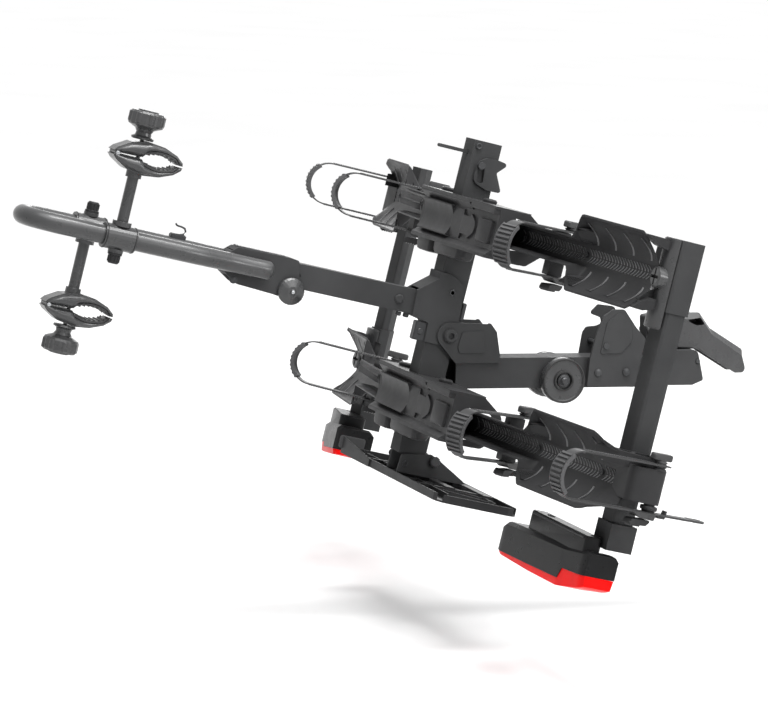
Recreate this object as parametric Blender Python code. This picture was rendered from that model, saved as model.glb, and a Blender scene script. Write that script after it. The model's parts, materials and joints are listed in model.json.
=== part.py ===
"""Bike rack for two bikes that clamps on a tow ball, with its platform tilted down away from the vehicle.

Metres, +Z up, +X towards the vehicle, +Y away from the coupling lever's near side.
The world origin is the centre of the tow ball inside the coupling's socket.
Two frames carry the pieces. The hitch frame stands at the platform's pivot and is level.
The platform frame shares that point and leans by TILT: its Z runs up along the post, its X towards
the vehicle, and in use it turns forward until the post lies level over the hitch beam.
"""
from math import cos, pi, radians, sin, tan

import bmesh
import bpy
from mathutils import Matrix, Vector

# Fits
GAP = 0.0003
SLIDE_FIT = 0.0005

# Tow ball, pivot and tilt
BALL_RADIUS = 0.025
PIVOT_FROM_BALL = (-0.405, 0.0, 0.080)
TILT = radians(12)

# Hitch beam, a square steel tube
BEAM_WIDTH = 0.0472
BEAM_HEIGHT = 0.0502
BEAM_WALL = 0.004
BEAM_TOP = -0.0376
BEAM_START = 0.0145
BEAM_LENGTH = 0.340
BEAM_END = BEAM_START + BEAM_LENGTH

# Centre post
POST_WIDTH = 0.040
POST_DEPTH = 0.048
POST_WALL = 0.003
POST_FRONT = -0.036
POST_TOP = 0.318
POST_BOTTOM = -0.203
POST_BACK = POST_FRONT + POST_DEPTH

# Catch in the post's top
CATCH_BOLT_RADIUS = 0.003
CATCH_BOLT_AT = (-0.0180, 0.2790)
CATCH_SHEET = 0.0045
CATCH_TRAVEL = 0.0045
RELEASE_HALF = 0.0028
RELEASE_LEVEL = 0.2958
RELEASE_TIP = -0.089

# Arm that carries the hoop
SHOE_SHEET = 0.0033
ARM_WIDTH = 0.035
ARM_LOW = 0.020
ARM_HEIGHT = 0.040
ARM_WALL = 0.003
ARM_REACH = 0.243
ARM_ROOT = -0.040
ARM_MID = ARM_LOW + ARM_HEIGHT / 2

# Hinge plates
HINGE_SHEET = 0.0037
HINGE_ROUND = 0.0215
PIVOT_PIN_RADIUS = 0.006
PIVOT_HEAD_RADIUS = 0.011
PIVOT_HEAD = 0.0065

# Claw plates and their pin
CLAW_SHEET = 0.004
CLAW_OFFSET = 0.0322
CLAW_PIN_RADIUS = 0.004
CLAW_PIN_AT = (0.2722, -0.0175)
RIVET_RADIUS = 0.0065
RIVET_HEAD = 0.0022

# Coupling
COUPLING_WALL = 0.008
COUPLING_LENGTH = 0.100
COUPLING_SPIGOT = 0.036
LEVER_WIDTH = 0.040
LEVER_PIN_RADIUS = 0.004
LEVER_PIN_AT = (0.372, 0.004)

# Transport wheels
WHEEL_RADIUS = 0.0375
WHEEL_WIDTH = 0.0165
WHEEL_AT = (0.198, -0.074)
AXLE_RADIUS = 0.005
HUB_NUT_RADIUS = 0.011

# Rows of wheel trays along the post
ROW_UPPER = 0.1768
ROW_LOWER = -0.1201
TRAY_SLOPE = radians(9)
TRAY_WALL = 0.0032
TRAY_ROOT = 0.195
TRAY_FLOOR_AT_ROOT = 0.0245
WING_START = 0.378
SHORT_TRAY_END = 0.528
LONG_TRAY_END = 0.604
NECK_HALF = 0.030
NECK_DEPTH = 0.036
WING_UP = 0.069
WING_DOWN = 0.042
WING_DEPTH = 0.034

# Mouldings that clamp the trays on the post
MOULDING_HALF = 0.205
MOULDING_UP = 0.048
MOULDING_LIP = 0.014
MOULDING_WEB = 0.004
MOULDING_BACK = 0.016
FLANGE = 0.0045

# Side tubes
TUBE_INNER = 0.5325
TUBE_WIDTH = 0.045
TUBE_FRONT = 0.101
TUBE_OUTER_DEPTH = 0.036
TUBE_INNER_DEPTH = 0.012
TUBE_TOP = 0.244
TUBE_BOTTOM = -0.228
TUBE_WALL = 0.003
SLEEVE_WALL = 0.003
SLEEVE_UP = 0.070
SLEEVE_DOWN = -0.040

# Straps
BAND_WIDTH = 0.020
BAND_THICKNESS = 0.0022
STRAP_RADIUS = 0.0355
STRAP_REACH = 0.171
PAD_WIDTH = 0.026
PAD_THICKNESS = 0.008
PAD_SPAN = radians(62)
LEVER_LENGTH = 0.036
INNER_STRAP_AT = (0.293, 0.0440)
OUTER_STRAP_AT = (0.628, 0.1250)

# Lamps
LAMP_INNER = 0.284
LAMP_OUTER = 0.590
LAMP_FRONT = 0.066
LAMP_DEPTH = 0.050
LAMP_TOP = -0.236
CARRIER_INNER = 0.347
CARRIER_TOP = -0.215

# Number plate holder
HOLDER_HALF = 0.225
HOLDER_FRONT = -0.036
HOLDER_DEPTH = 0.143
HOLDER_BOTTOM = -0.2475
HOLDER_SHEET = 0.003
HOLDER_LIP = 0.013

# Hoop
HOOP_TUBE_RADIUS = 0.015
HOOP_HALF = 0.050
HOOP_TIP = -0.748
HOOP_LEVEL = 0.039
HOOP_ROOT = -0.327
FOLD_AT = (-0.283, 0.014)
FOLD_KNOB_RADIUS = 0.022
FOLD_PIN_RADIUS = 0.004
BRACKET_REAR = -0.398
BRACKET_FRONT = -0.281

# Frame clamps
ROD_RADIUS = 0.009
NEAR_CLAMP_AT = -0.590
FAR_CLAMP_AT = -0.612
NEAR_ROD = 0.100
FAR_ROD = 0.102
COLLAR_LENGTH = 0.052
JAW_WIDTH = 0.034
JAW_FORWARD = 0.005
SCREW_RADIUS = 0.0032
SCREW_TRAVEL = 0.020


def material(name, colour, roughness, metallic):
    """A Principled material."""
    made = bpy.data.materials.new(name)
    made.use_nodes = True
    shader = made.node_tree.nodes["Principled BSDF"]
    shader.inputs["Base Color"].default_value = (*colour, 1.0)
    shader.inputs["Roughness"].default_value = roughness
    shader.inputs["Metallic"].default_value = metallic
    made.diffuse_color = (*colour, 1.0)
    return made


def frame(name, location=(0.0, 0.0, 0.0), turn=0.0, parent=None):
    """An empty that carries pieces, turned about its Y axis."""
    made = bpy.data.objects.new(name, None)
    bpy.context.scene.collection.objects.link(made)
    made.location = location
    made.rotation_euler = (0.0, turn, 0.0)
    made.parent = parent
    return made


def arc(centre, radius, start, end, steps):
    """Points of an arc in a plane, its angles in degrees."""
    angles = [radians(start + (end - start) * i / steps) for i in range(steps + 1)]
    return [(centre[0] + radius * cos(a), centre[1] + radius * sin(a)) for a in angles]


def rounded(corners, steps=3):
    """An outline whose corners (a, b, radius) are replaced by arcs; a corner of two numbers stays sharp."""
    outline = []
    count = len(corners)
    for i, corner in enumerate(corners):
        here = Vector(corner[:2])
        if len(corner) < 3:
            outline.append(tuple(here))
            continue
        before = (Vector(corners[i - 1][:2]) - here).normalized()
        after = (Vector(corners[(i + 1) % count][:2]) - here).normalized()
        half = before.angle(after) / 2
        bisector = (before + after).normalized()
        centre = here + bisector * corner[2] / sin(half)
        reach = corner[2] / tan(half)
        first = here + before * reach - centre
        sweep = first.angle_signed(here + after * reach - centre)
        for k in range(steps + 1):
            spin = -sweep * k / steps
            turned_x = first.x * cos(spin) - first.y * sin(spin)
            turned_y = first.x * sin(spin) + first.y * cos(spin)
            outline.append((centre.x + turned_x, centre.y + turned_y))
    return outline


PLANES = {
    "XZ": lambda a, b, h: (a, h, b),
    "XY": lambda a, b, h: (a, b, h),
    "YZ": lambda a, b, h: (h, a, b),
}


def loft(loops, closed=False):
    """A closed skin through loops of equally many points, with flat ends unless it closes on itself."""
    shape = bmesh.new()
    rings = [[shape.verts.new(p) for p in loop] for loop in loops]
    count = len(rings[0])
    pairs = list(zip(rings, rings[1:]))
    if closed:
        pairs.append((rings[-1], rings[0]))
    for low, high in pairs:
        for i in range(count):
            j = (i + 1) % count
            shape.faces.new((low[i], low[j], high[j], high[i]))
    if not closed:
        shape.faces.new(rings[0][::-1])
        shape.faces.new(rings[-1])
    bmesh.ops.recalc_face_normals(shape, faces=shape.faces)
    return shape


def prism(outline, low, high, plane="XZ"):
    """An outline extruded square to its plane, from low to high."""
    place = PLANES[plane]
    return loft([[place(a, b, h) for a, b in outline] for h in (low, high)])


def block(x, y, z):
    """A box between pairs of limits."""
    outline = [(x[0], z[0]), (x[1], z[0]), (x[1], z[1]), (x[0], z[1])]
    return prism(outline, y[0], y[1])


def turned(profile, centre, axis="Y", steps=20):
    """A solid of revolution; the profile holds (radius, height) points, its ends on the axis or joined up."""
    place = {
        "X": lambda r, t, h: (h, r * cos(t), r * sin(t)),
        "Y": lambda r, t, h: (r * sin(t), h, r * cos(t)),
        "Z": lambda r, t, h: (r * cos(t), r * sin(t), h),
    }[axis]
    shape = bmesh.new()
    rings = []
    for radius, height in profile:
        if radius < 1e-6:
            rings.append([shape.verts.new(place(0.0, 0.0, height))])
        else:
            rings.append([shape.verts.new(place(radius, 2 * pi * i / steps, height)) for i in range(steps)])
    pairs = list(zip(rings, rings[1:]))
    if len(rings[0]) > 1:
        pairs.append((rings[-1], rings[0]))
    for low, high in pairs:
        for i in range(steps):
            j = (i + 1) % steps
            corners = [low[i % len(low)], low[j % len(low)], high[j % len(high)], high[i % len(high)]]
            shape.faces.new(list(dict.fromkeys(corners)))
    bmesh.ops.recalc_face_normals(shape, faces=shape.faces)
    bmesh.ops.translate(shape, vec=centre, verts=shape.verts)
    return shape


def rod(radius, low, high, centre, axis="Y", steps=20):
    """A plain round bar, its limits measured from its centre along the axis."""
    return turned([(0.0, low), (radius, low), (radius, high), (0.0, high)], centre, axis, steps)


def placed(shape, matrix):
    """The same shape moved by a matrix."""
    bmesh.ops.transform(shape, matrix=matrix, verts=shape.verts)
    if matrix.determinant() < 0:
        bmesh.ops.reverse_faces(shape, faces=shape.faces)
    return shape


def link(name, shape, parent, origin):
    """An object that holds a shape given in its parent's frame, with its own origin at a chosen point."""
    bmesh.ops.translate(shape, vec=-Vector(origin), verts=shape.verts)
    mesh = bpy.data.meshes.new(name)
    shape.to_mesh(mesh)
    shape.free()
    mesh.shade_smooth()
    mesh.set_sharp_from_angle(angle=radians(32))
    made = bpy.data.objects.new(name, mesh)
    bpy.context.scene.collection.objects.link(made)
    made.parent = parent
    made.location = origin
    return made


def node(name, shape, finish, parent, origin=(0.0, 0.0, 0.0)):
    """A sub-part of the rack."""
    made = link(name, shape, parent, origin)
    made.data.materials.append(finish)
    return made


def combine(target, shape, operation):
    """Join a shape to a sub-part, or cut it out, by a Boolean with a hidden tool."""
    count = len(target.modifiers)
    tool = link(f"{target.name}_tool_{count}", shape, target.parent, (0.0, 0.0, 0.0))
    tool.hide_render = True
    tool.display_type = "WIRE"
    step = target.modifiers.new(f"{operation.title()} {count}", "BOOLEAN")
    step.operation = operation
    step.object = tool
    step.solver = "EXACT"


def join(target, *shapes):
    for shape in shapes:
        combine(target, shape, "UNION")


def cut(target, *shapes):
    for shape in shapes:
        combine(target, shape, "DIFFERENCE")


def hollow(target, x, y, z, wall, open_along="x", past=0.01):
    """Cut the bore of a square tube that is given by its outer limits."""
    inner = {"x": [x[0] + wall, x[1] - wall], "y": [y[0] + wall, y[1] - wall], "z": [z[0] + wall, z[1] - wall]}
    outer = {"x": x, "y": y, "z": z}
    inner[open_along] = [outer[open_along][0] - past, outer[open_along][1] + past]
    cut(target, block(inner["x"], inner["y"], inner["z"]))


def both(half):
    """Limits either side of a middle plane."""
    return (-half, half)


for leftover in list(bpy.data.objects):
    bpy.data.objects.remove(leftover)

COATED = material("coated_steel", (0.030, 0.031, 0.033), 0.42, 0.35)
MOULDED = material("moulded_black", (0.022, 0.022, 0.023), 0.50, 0.0)
RUBBER = material("black_rubber", (0.018, 0.018, 0.018), 0.72, 0.0)
BRIGHT = material("zinc_plated", (0.45, 0.46, 0.47), 0.35, 0.9)
RED_LENS = material("red_lens", (0.78, 0.012, 0.010), 0.16, 0.0)

HITCH = frame("hitch_frame", PIVOT_FROM_BALL)
PLATFORM = frame("platform_frame", (0.0, 0.0, 0.0), TILT, HITCH)


def hitch_beam():
    x = (BEAM_START, BEAM_END)
    y = both(BEAM_WIDTH / 2)
    z = (BEAM_TOP - BEAM_HEIGHT, BEAM_TOP)
    beam = node("hitch_beam", block(x, y, z), COATED, HITCH)
    hollow(beam, x, y, z, BEAM_WALL)
    cut(beam, rod(AXLE_RADIUS + SLIDE_FIT, *both(BEAM_WIDTH), (WHEEL_AT[0], 0.0, WHEEL_AT[1])))


def hinge_plates():
    """Two plates outside the beam, with a round end about the pivot."""
    inner = BEAM_WIDTH / 2 + GAP
    round_end = arc((0.0, 0.0), HINGE_ROUND, 215, 80, 9)
    outline = round_end + rounded([(0.0683, 0.0222, 0.004), (0.0814, 0.0057, 0.004), (0.0886, -0.0322, 0.004),
                                   (0.0889, BEAM_TOP - 0.008), (0.012, BEAM_TOP - 0.008)])
    for name, side in (("near", -1), ("far", 1)):
        limits = sorted((side * inner, side * (inner + HINGE_SHEET)))
        plate = node(f"hinge_plate_{name}", prism(outline, *limits), COATED, HITCH)
        pad = rounded([(0.017, -0.029, 0.004), (0.014, -0.018, 0.004), (0.021, 0.006, 0.004), (0.058, 0.008, 0.004),
                       (0.062, -0.029, 0.004)])
        raised = sorted((side * (inner + HINGE_SHEET / 2), side * (inner + HINGE_SHEET + 0.0012)))
        join(plate, prism(pad, *raised))
        cut(plate, rod(PIVOT_PIN_RADIUS + SLIDE_FIT, *both(0.05), (0.0, 0.0, 0.0)))


def pivot_bolt():
    """Bolt with a socket head on the near side and a nut on the far side."""
    seat = BEAM_WIDTH / 2 + HINGE_SHEET + 2 * GAP
    washer = PIVOT_HEAD_RADIUS * 1.15
    profile = [(0.0, -seat - PIVOT_HEAD), (PIVOT_HEAD_RADIUS * 0.8, -seat - PIVOT_HEAD),
               (PIVOT_HEAD_RADIUS, -seat - PIVOT_HEAD * 0.75), (PIVOT_HEAD_RADIUS, -seat - 0.0015),
               (washer, -seat - 0.0015), (washer, -seat), (PIVOT_PIN_RADIUS, -seat), (PIVOT_PIN_RADIUS, seat),
               (washer, seat), (washer, seat + 0.0015), (PIVOT_HEAD_RADIUS, seat + 0.0015),
               (PIVOT_HEAD_RADIUS, seat + PIVOT_HEAD), (0.0, seat + PIVOT_HEAD)]
    bolt = node("pivot_bolt", turned(profile, (0.0, 0.0, 0.0)), COATED, HITCH)
    socket = PIVOT_HEAD_RADIUS / 2
    cut(bolt, rod(socket, -seat - PIVOT_HEAD - 0.01, -seat - PIVOT_HEAD * 0.4, (0.0, 0.0, 0.0), steps=6))


def rivets(places, low, high):
    """Round rivet heads standing on a plate, one for each place."""
    return [rod(RIVET_RADIUS, low, high, (x, 0.0, z), steps=14) for x, z in places]


def claw_plates():
    """Plates beside the beam, joggled outwards above it so that the post can come down between them."""
    inner = BEAM_WIDTH / 2 + GAP
    near = rounded([(0.2419, -0.0837, 0.003), (0.2448, -0.0397, 0.006), (0.2545, 0.0034, 0.005),
                    (0.2656, 0.0318, 0.006), (0.2825, 0.0429, 0.005), (0.3026, 0.0428, 0.006), (0.3242, 0.0138, 0.02),
                    (0.3434, -0.0063, 0.008), (0.3264, -0.0862, 0.003)])
    far = rounded([(0.2419, -0.0837, 0.003), (0.254, -0.0413, 0.006), (0.2575, -0.0161, 0.01),
                   (0.2592, -0.0044, 0.01), (0.2652, 0.0048, 0.006), (0.2830, 0.0065, 0.004), (0.2925, 0.0100, 0.0035),
                   (0.2905, 0.0200, 0.004), (0.2697, 0.0274, 0.004), (0.2846, 0.0424, 0.005), (0.3141, 0.0390, 0.008),
                   (0.3242, 0.0138, 0.02), (0.3434, -0.0063, 0.008), (0.3264, -0.0862, 0.003)])
    foot = [(0.2430, BEAM_TOP - BEAM_HEIGHT + 0.004), (0.2460, BEAM_TOP - 0.004), (0.3350, BEAM_TOP - 0.004),
            (0.3262, BEAM_TOP - BEAM_HEIGHT + 0.004)]
    panel = rounded([(0.262, -0.031, 0.004), (0.272, 0.022, 0.012), (0.290, 0.036, 0.006), (0.303, 0.036, 0.008),
                     (0.318, 0.012, 0.006), (0.318, -0.010, 0.012), (0.300, -0.029, 0.008)])
    for name, side, outline in (("near", -1, near), ("far", 1, far)):
        sheet = sorted((side * CLAW_OFFSET, side * (CLAW_OFFSET + CLAW_SHEET)))
        plate = node(f"claw_plate_{name}", prism(outline, *sheet), COATED, HITCH)
        join(plate, prism(foot, *sorted((side * inner, side * (CLAW_OFFSET + CLAW_SHEET / 2)))))
        outside = CLAW_OFFSET + CLAW_SHEET
        if side < 0:
            join(plate, prism(panel, -outside - 0.0012, -outside + 0.002))
        heads = sorted((side * (outside - 0.002), side * (outside + RIVET_HEAD)))
        join(plate, *rivets([(0.2603, -0.0614), (0.3105, -0.0610)], *heads))
        cut(plate, rod(CLAW_PIN_RADIUS + GAP, *both(0.06), (CLAW_PIN_AT[0], 0.0, CLAW_PIN_AT[1])))


def claw_pin():
    outside = CLAW_OFFSET + CLAW_SHEET
    head = CLAW_PIN_RADIUS + 0.0012
    reach = outside + GAP + 0.0012
    stand = reach + 0.0015
    profile = [(0.0, -stand), (head, -stand), (head, -reach), (CLAW_PIN_RADIUS, -reach),
               (CLAW_PIN_RADIUS, reach), (head, reach), (head, stand), (0.0, stand)]
    node("claw_pin", turned(profile, (CLAW_PIN_AT[0], 0.0, CLAW_PIN_AT[1]), steps=14), BRIGHT, HITCH)


def coupling():
    """Ball clamp: a housing with a ball socket that opens below, its lever, lever pin and lock button."""
    ball = (-PIVOT_FROM_BALL[0], 0.0, -PIVOT_FROM_BALL[2])
    bottom = BEAM_TOP - BEAM_HEIGHT + 0.0035
    half = BALL_RADIUS + COUPLING_WALL
    start = BEAM_END + GAP
    end = start + COUPLING_LENGTH
    outline = rounded([(start, bottom), (start, BEAM_TOP - 0.001), (start + 0.010, BEAM_TOP + 0.010, 0.006),
                       (end - 0.015, BEAM_TOP + 0.012, 0.010), (end - 0.002, bottom + 0.008, 0.004),
                       (end - 0.022, bottom)])
    body = node("coupling_body", prism(outline, *both(half)), COATED, HITCH)
    spigot = BEAM_WALL + SLIDE_FIT
    join(body, block((start - COUPLING_SPIGOT, start + 0.004), both(BEAM_WIDTH / 2 - spigot),
                     (BEAM_TOP - BEAM_HEIGHT + spigot, BEAM_TOP - spigot)))
    horn = rounded([(start + 0.001, BEAM_TOP), (start - 0.003, 0.028, 0.004), (start + 0.012, 0.031, 0.004),
                    (start + 0.034, 0.004, 0.006), (start + 0.046, BEAM_TOP + 0.004)])
    join(body, prism(horn, *both(0.013)))
    socket = BALL_RADIUS + SLIDE_FIT
    cut(body, rod(socket, ball[2] - 0.03, ball[2], (ball[0], 0.0, 0.0), "Z", 24))
    dome = [(socket * cos(a), ball[2] + socket * sin(a)) for a in (i * pi / 14 for i in range(8))]
    cut(body, turned([(0.0, ball[2] - 0.002), (socket, ball[2] - 0.002)] + dome, (ball[0], 0.0, 0.0), "Z", 24))
    cut(body, rod(LEVER_PIN_RADIUS + GAP, *both(0.05), (LEVER_PIN_AT[0], 0.0, LEVER_PIN_AT[1])))
    hole = (end - 0.010, BEAM_TOP + 0.001)
    cut(body, rod(0.0045, -half - 0.01, -half + 0.010, (hole[0] - 0.004, 0.0, hole[1] - 0.008), steps=14))
    button = turned([(0.0, -half - 0.002), (0.0035, -half - 0.002), (0.004, -half - 0.001), (0.004, -half + 0.0077),
                     (0.0, -half + 0.0077)], (hole[0] - 0.004, 0.0, hole[1] - 0.008), steps=14)
    node("lock_button", button, BRIGHT, HITCH, (hole[0] - 0.004, -half, hole[1] - 0.008))

    lever_outline = rounded([(0.352, 0.014, 0.005), (0.364, 0.021, 0.006), (0.412, 0.034, 0.006),
                             (0.446, 0.040, 0.006), (0.462, 0.036, 0.006), (0.487, 0.005, 0.010),
                             (0.541, -0.031, 0.006), (0.537, -0.063, 0.006), (0.513, -0.064, 0.010),
                             (0.462, -0.0245), (0.410, -0.0245), (0.392, -0.010, 0.004), (0.362, -0.010, 0.006)])
    origin = (LEVER_PIN_AT[0], 0.0, LEVER_PIN_AT[1])
    lever = node("coupling_lever", prism(lever_outline, *both(LEVER_WIDTH / 2)), COATED, HITCH, origin)
    clear = [(0.330, -0.080), (0.330, 0.080), (0.4055, 0.080), (0.4055, -0.080)]
    cut(lever, prism(clear, *both(0.013 + SLIDE_FIT)))
    window = rounded([(0.417, 0.016, 0.002), (0.444, 0.024, 0.003), (0.456, 0.011, 0.003)])
    cut(lever, prism(window, *both(0.04)))
    under = rounded([(0.424, -0.060), (0.424, -0.006, 0.005), (0.470, -0.006, 0.02), (0.528, -0.038, 0.006),
                     (0.520, -0.080)])
    cut(lever, prism(under, *both(LEVER_WIDTH / 2 - 0.0035)))
    cut(lever, rod(LEVER_PIN_RADIUS + GAP, *both(0.05), origin))
    length = LEVER_WIDTH / 2 + 0.003
    node("lever_pin", rod(LEVER_PIN_RADIUS, *both(length), origin, steps=14), BRIGHT, HITCH)


def transport_wheels():
    """Axle through the beam with a dished wheel and a domed hub on each end."""
    centre = (WHEEL_AT[0], 0.0, WHEEL_AT[1])
    inner = BEAM_WIDTH / 2 + 0.0008
    outer = inner + WHEEL_WIDTH
    axle = [(0.0, -outer - 0.003), (HUB_NUT_RADIUS * 0.7, -outer - 0.003), (HUB_NUT_RADIUS, -outer - 0.001),
            (HUB_NUT_RADIUS, -outer + 0.0035 - GAP), (AXLE_RADIUS, -outer + 0.0035 - GAP),
            (AXLE_RADIUS, outer - 0.0035 + GAP), (HUB_NUT_RADIUS, outer - 0.0035 + GAP),
            (HUB_NUT_RADIUS, outer + 0.001), (HUB_NUT_RADIUS * 0.7, outer + 0.003), (0.0, outer + 0.003)]
    node("wheel_axle", turned(axle, centre, steps=16), BRIGHT, HITCH)
    rim = WHEEL_RADIUS
    section = [(AXLE_RADIUS + SLIDE_FIT, outer - 0.0035), (HUB_NUT_RADIUS + 0.002, outer - 0.0035),
               (HUB_NUT_RADIUS + 0.004, outer - 0.001), (rim * 0.86, outer - 0.001), (rim * 0.90, outer),
               (rim * 0.96, outer - 0.001), (rim, outer - 0.004), (rim, inner + 0.004), (rim * 0.96, inner + 0.001),
               (rim * 0.88, inner), (AXLE_RADIUS + SLIDE_FIT, inner)]
    for name, side in (("near", -1), ("far", 1)):
        profile = [(radius, side * height) for radius, height in section]
        node(f"wheel_{name}", turned(profile, centre, steps=26), RUBBER, HITCH, centre)


def centre_post():
    x = (POST_FRONT, POST_BACK)
    y = both(POST_WIDTH / 2)
    z = (POST_BOTTOM, POST_TOP)
    post = node("centre_post", block(x, y, z), COATED, PLATFORM)
    hollow(post, x, y, z, POST_WALL, "z")
    cut(post, rod(PIVOT_PIN_RADIUS + SLIDE_FIT, *both(0.05), (0.0, 0.0, 0.0)))
    slot = (RELEASE_LEVEL - RELEASE_HALF - SLIDE_FIT, RELEASE_LEVEL + RELEASE_HALF + SLIDE_FIT)
    cut(post, block((POST_FRONT - 0.01, POST_FRONT + 0.01), both(RELEASE_HALF + SLIDE_FIT), slot))
    cut(post, rod(CATCH_BOLT_RADIUS + GAP, *both(0.05), (CATCH_BOLT_AT[0], 0.0, CATCH_BOLT_AT[1]), steps=16))
    head = -POST_WIDTH / 2
    join(post, rod(0.0045, head - 0.0012, head + 0.002, (-0.0274, 0.0, 0.3087), steps=14))


def catch():
    """Plate with a V mouth that takes the claw pin, its bolt, and the rod that draws it back."""
    inner = POST_WIDTH / 2 + GAP
    pin = (-CLAW_PIN_AT[1], CLAW_PIN_AT[0])
    root = (pin[0] - CLAW_PIN_RADIUS * 1.35, pin[1] + CLAW_PIN_RADIUS * 0.15)
    outline = rounded([(-0.0240, 0.2840, 0.014), (-0.0255, 0.2510, 0.013), (0.0020, 0.2420, 0.004),
                       (0.0280, 0.2425, 0.0035), (*root, 0.0030),
                       (0.0300, 0.2905, 0.004), (0.0110, 0.2935, 0.004), (-0.0100, 0.2930, 0.010)])
    origin = (CATCH_BOLT_AT[0], -inner, CATCH_BOLT_AT[1])
    plate = node("catch_plate", prism(outline, -inner - CATCH_SHEET, -inner), COATED, PLATFORM, origin)
    slot_half = CATCH_BOLT_RADIUS + GAP
    low = (CATCH_BOLT_AT[0] + 0.005, 0.2545)
    slot = arc((CATCH_BOLT_AT[0], CATCH_BOLT_AT[1]), slot_half, 180, 90, 4)
    slot += arc((CATCH_BOLT_AT[0] + CATCH_TRAVEL, CATCH_BOLT_AT[1]), slot_half, 90, 0, 4)
    slot += arc((low[0] + 0.002, low[1]), slot_half, 0, -90, 3)
    slot += arc((low[0] - 0.002, low[1]), slot_half, -90, -180, 3)
    cut(plate, prism(slot, -inner - 0.02, -inner + 0.01))
    face = inner + CATCH_SHEET + GAP
    head = CATCH_BOLT_RADIUS * 2
    end = face + 0.0060
    back_face = POST_WIDTH / 2 + GAP
    bolt = [(0.0, -end), (head, -end), (head, -face), (CATCH_BOLT_RADIUS, -face), (CATCH_BOLT_RADIUS, back_face),
            (head, back_face), (head, back_face + 0.003), (0.0, back_face + 0.003)]
    node("catch_bolt", turned(bolt, (CATCH_BOLT_AT[0], 0.0, CATCH_BOLT_AT[1]), steps=16), BRIGHT, PLATFORM)
    low = RELEASE_LEVEL - RELEASE_HALF
    high = RELEASE_LEVEL + RELEASE_HALF
    tip = RELEASE_TIP
    bar = rounded([(tip, low, 0.0025), (tip, high, 0.0025), (-0.0200, high), (-0.0200, low)])
    node("release_rod", prism(bar, *both(RELEASE_HALF)), COATED, PLATFORM, (tip, 0.0, RELEASE_LEVEL))


def arm():
    """Sheet shoe around the post, the arm tube that it holds, and the bolt that locks the tube."""
    inner = POST_WIDTH / 2 + GAP
    cheek = rounded([(-0.0725, 0.0602, 0.002), (-0.0398, 0.0862, 0.002), (-0.0402, 0.0977, 0.002),
                     (-0.0195, 0.0971, 0.030), (0.0061, 0.0831, 0.010), (0.0111, 0.0228, 0.010),
                     (0.0100, -0.0187, 0.003), (-0.0399, -0.0187, 0.002), (-0.0408, 0.0121, 0.002),
                     (-0.0710, 0.0184, 0.002)])
    limits = (-inner - SHOE_SHEET, inner + SHOE_SHEET)
    shoe = node("arm_housing", prism(cheek, *limits), COATED, PLATFORM)
    cut(shoe, block((POST_FRONT - GAP, POST_BACK + 0.02), both(inner), (-0.05, 0.15)))
    inside = rounded([(-0.0750, 0.0170), (-0.0750, 0.0640), (-0.0640, 0.0640), (-0.0380, 0.0820), (-0.0300, 0.0820),
                      (-0.0300, 0.0170)])
    cut(shoe, prism(inside, *both(ARM_WIDTH / 2 + GAP)))
    cut(shoe, rod(PIVOT_PIN_RADIUS + SLIDE_FIT, *both(0.05), (0.0, 0.0, 0.0)))
    head = inner + SHOE_SHEET
    cut(shoe, rod(0.006, -head - 0.01, -head + 0.0010, (-0.0128, 0.0, 0.0686), steps=16))

    x = (-ARM_REACH - 0.036, ARM_ROOT)
    y = both(ARM_WIDTH / 2)
    z = (ARM_LOW, ARM_LOW + ARM_HEIGHT)
    tube = node("arm_tube", block(x, y, z), COATED, PLATFORM)
    hollow(tube, x, y, z, ARM_WALL)
    cut(tube, rod(0.004 + GAP, *both(0.05), (-0.098, 0.0, ARM_MID), steps=14))
    cut(tube, rod(FOLD_PIN_RADIUS + GAP, *both(0.05), (FOLD_AT[0] + 0.008, 0.0, ARM_MID), steps=14))
    face = ARM_WIDTH / 2 + GAP
    bolt = [(0.0, -face - 0.003), (0.0055, -face - 0.003), (0.0075, -face - 0.0015), (0.0075, -face), (0.004, -face),
            (0.004, face), (0.0075, face), (0.0075, face + 0.0045), (0.0, face + 0.0045)]
    node("arm_bolt", turned(bolt, (-0.098, 0.0, ARM_MID), steps=14), COATED, PLATFORM)


def tube_section(clear=0.0):
    """The wedge section of a side tube seen along it, as (X, outward) points."""
    front = TUBE_FRONT - clear
    inner = TUBE_INNER - clear
    outer = TUBE_INNER + TUBE_WIDTH + clear
    short = TUBE_FRONT + TUBE_INNER_DEPTH + clear
    deep = TUBE_FRONT + TUBE_OUTER_DEPTH + clear
    return rounded([(front, inner, 0.003), (short, inner, 0.003), (deep, outer - 0.012, 0.006),
                    (deep, outer, 0.008), (front, outer, 0.006)], 2)


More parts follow.
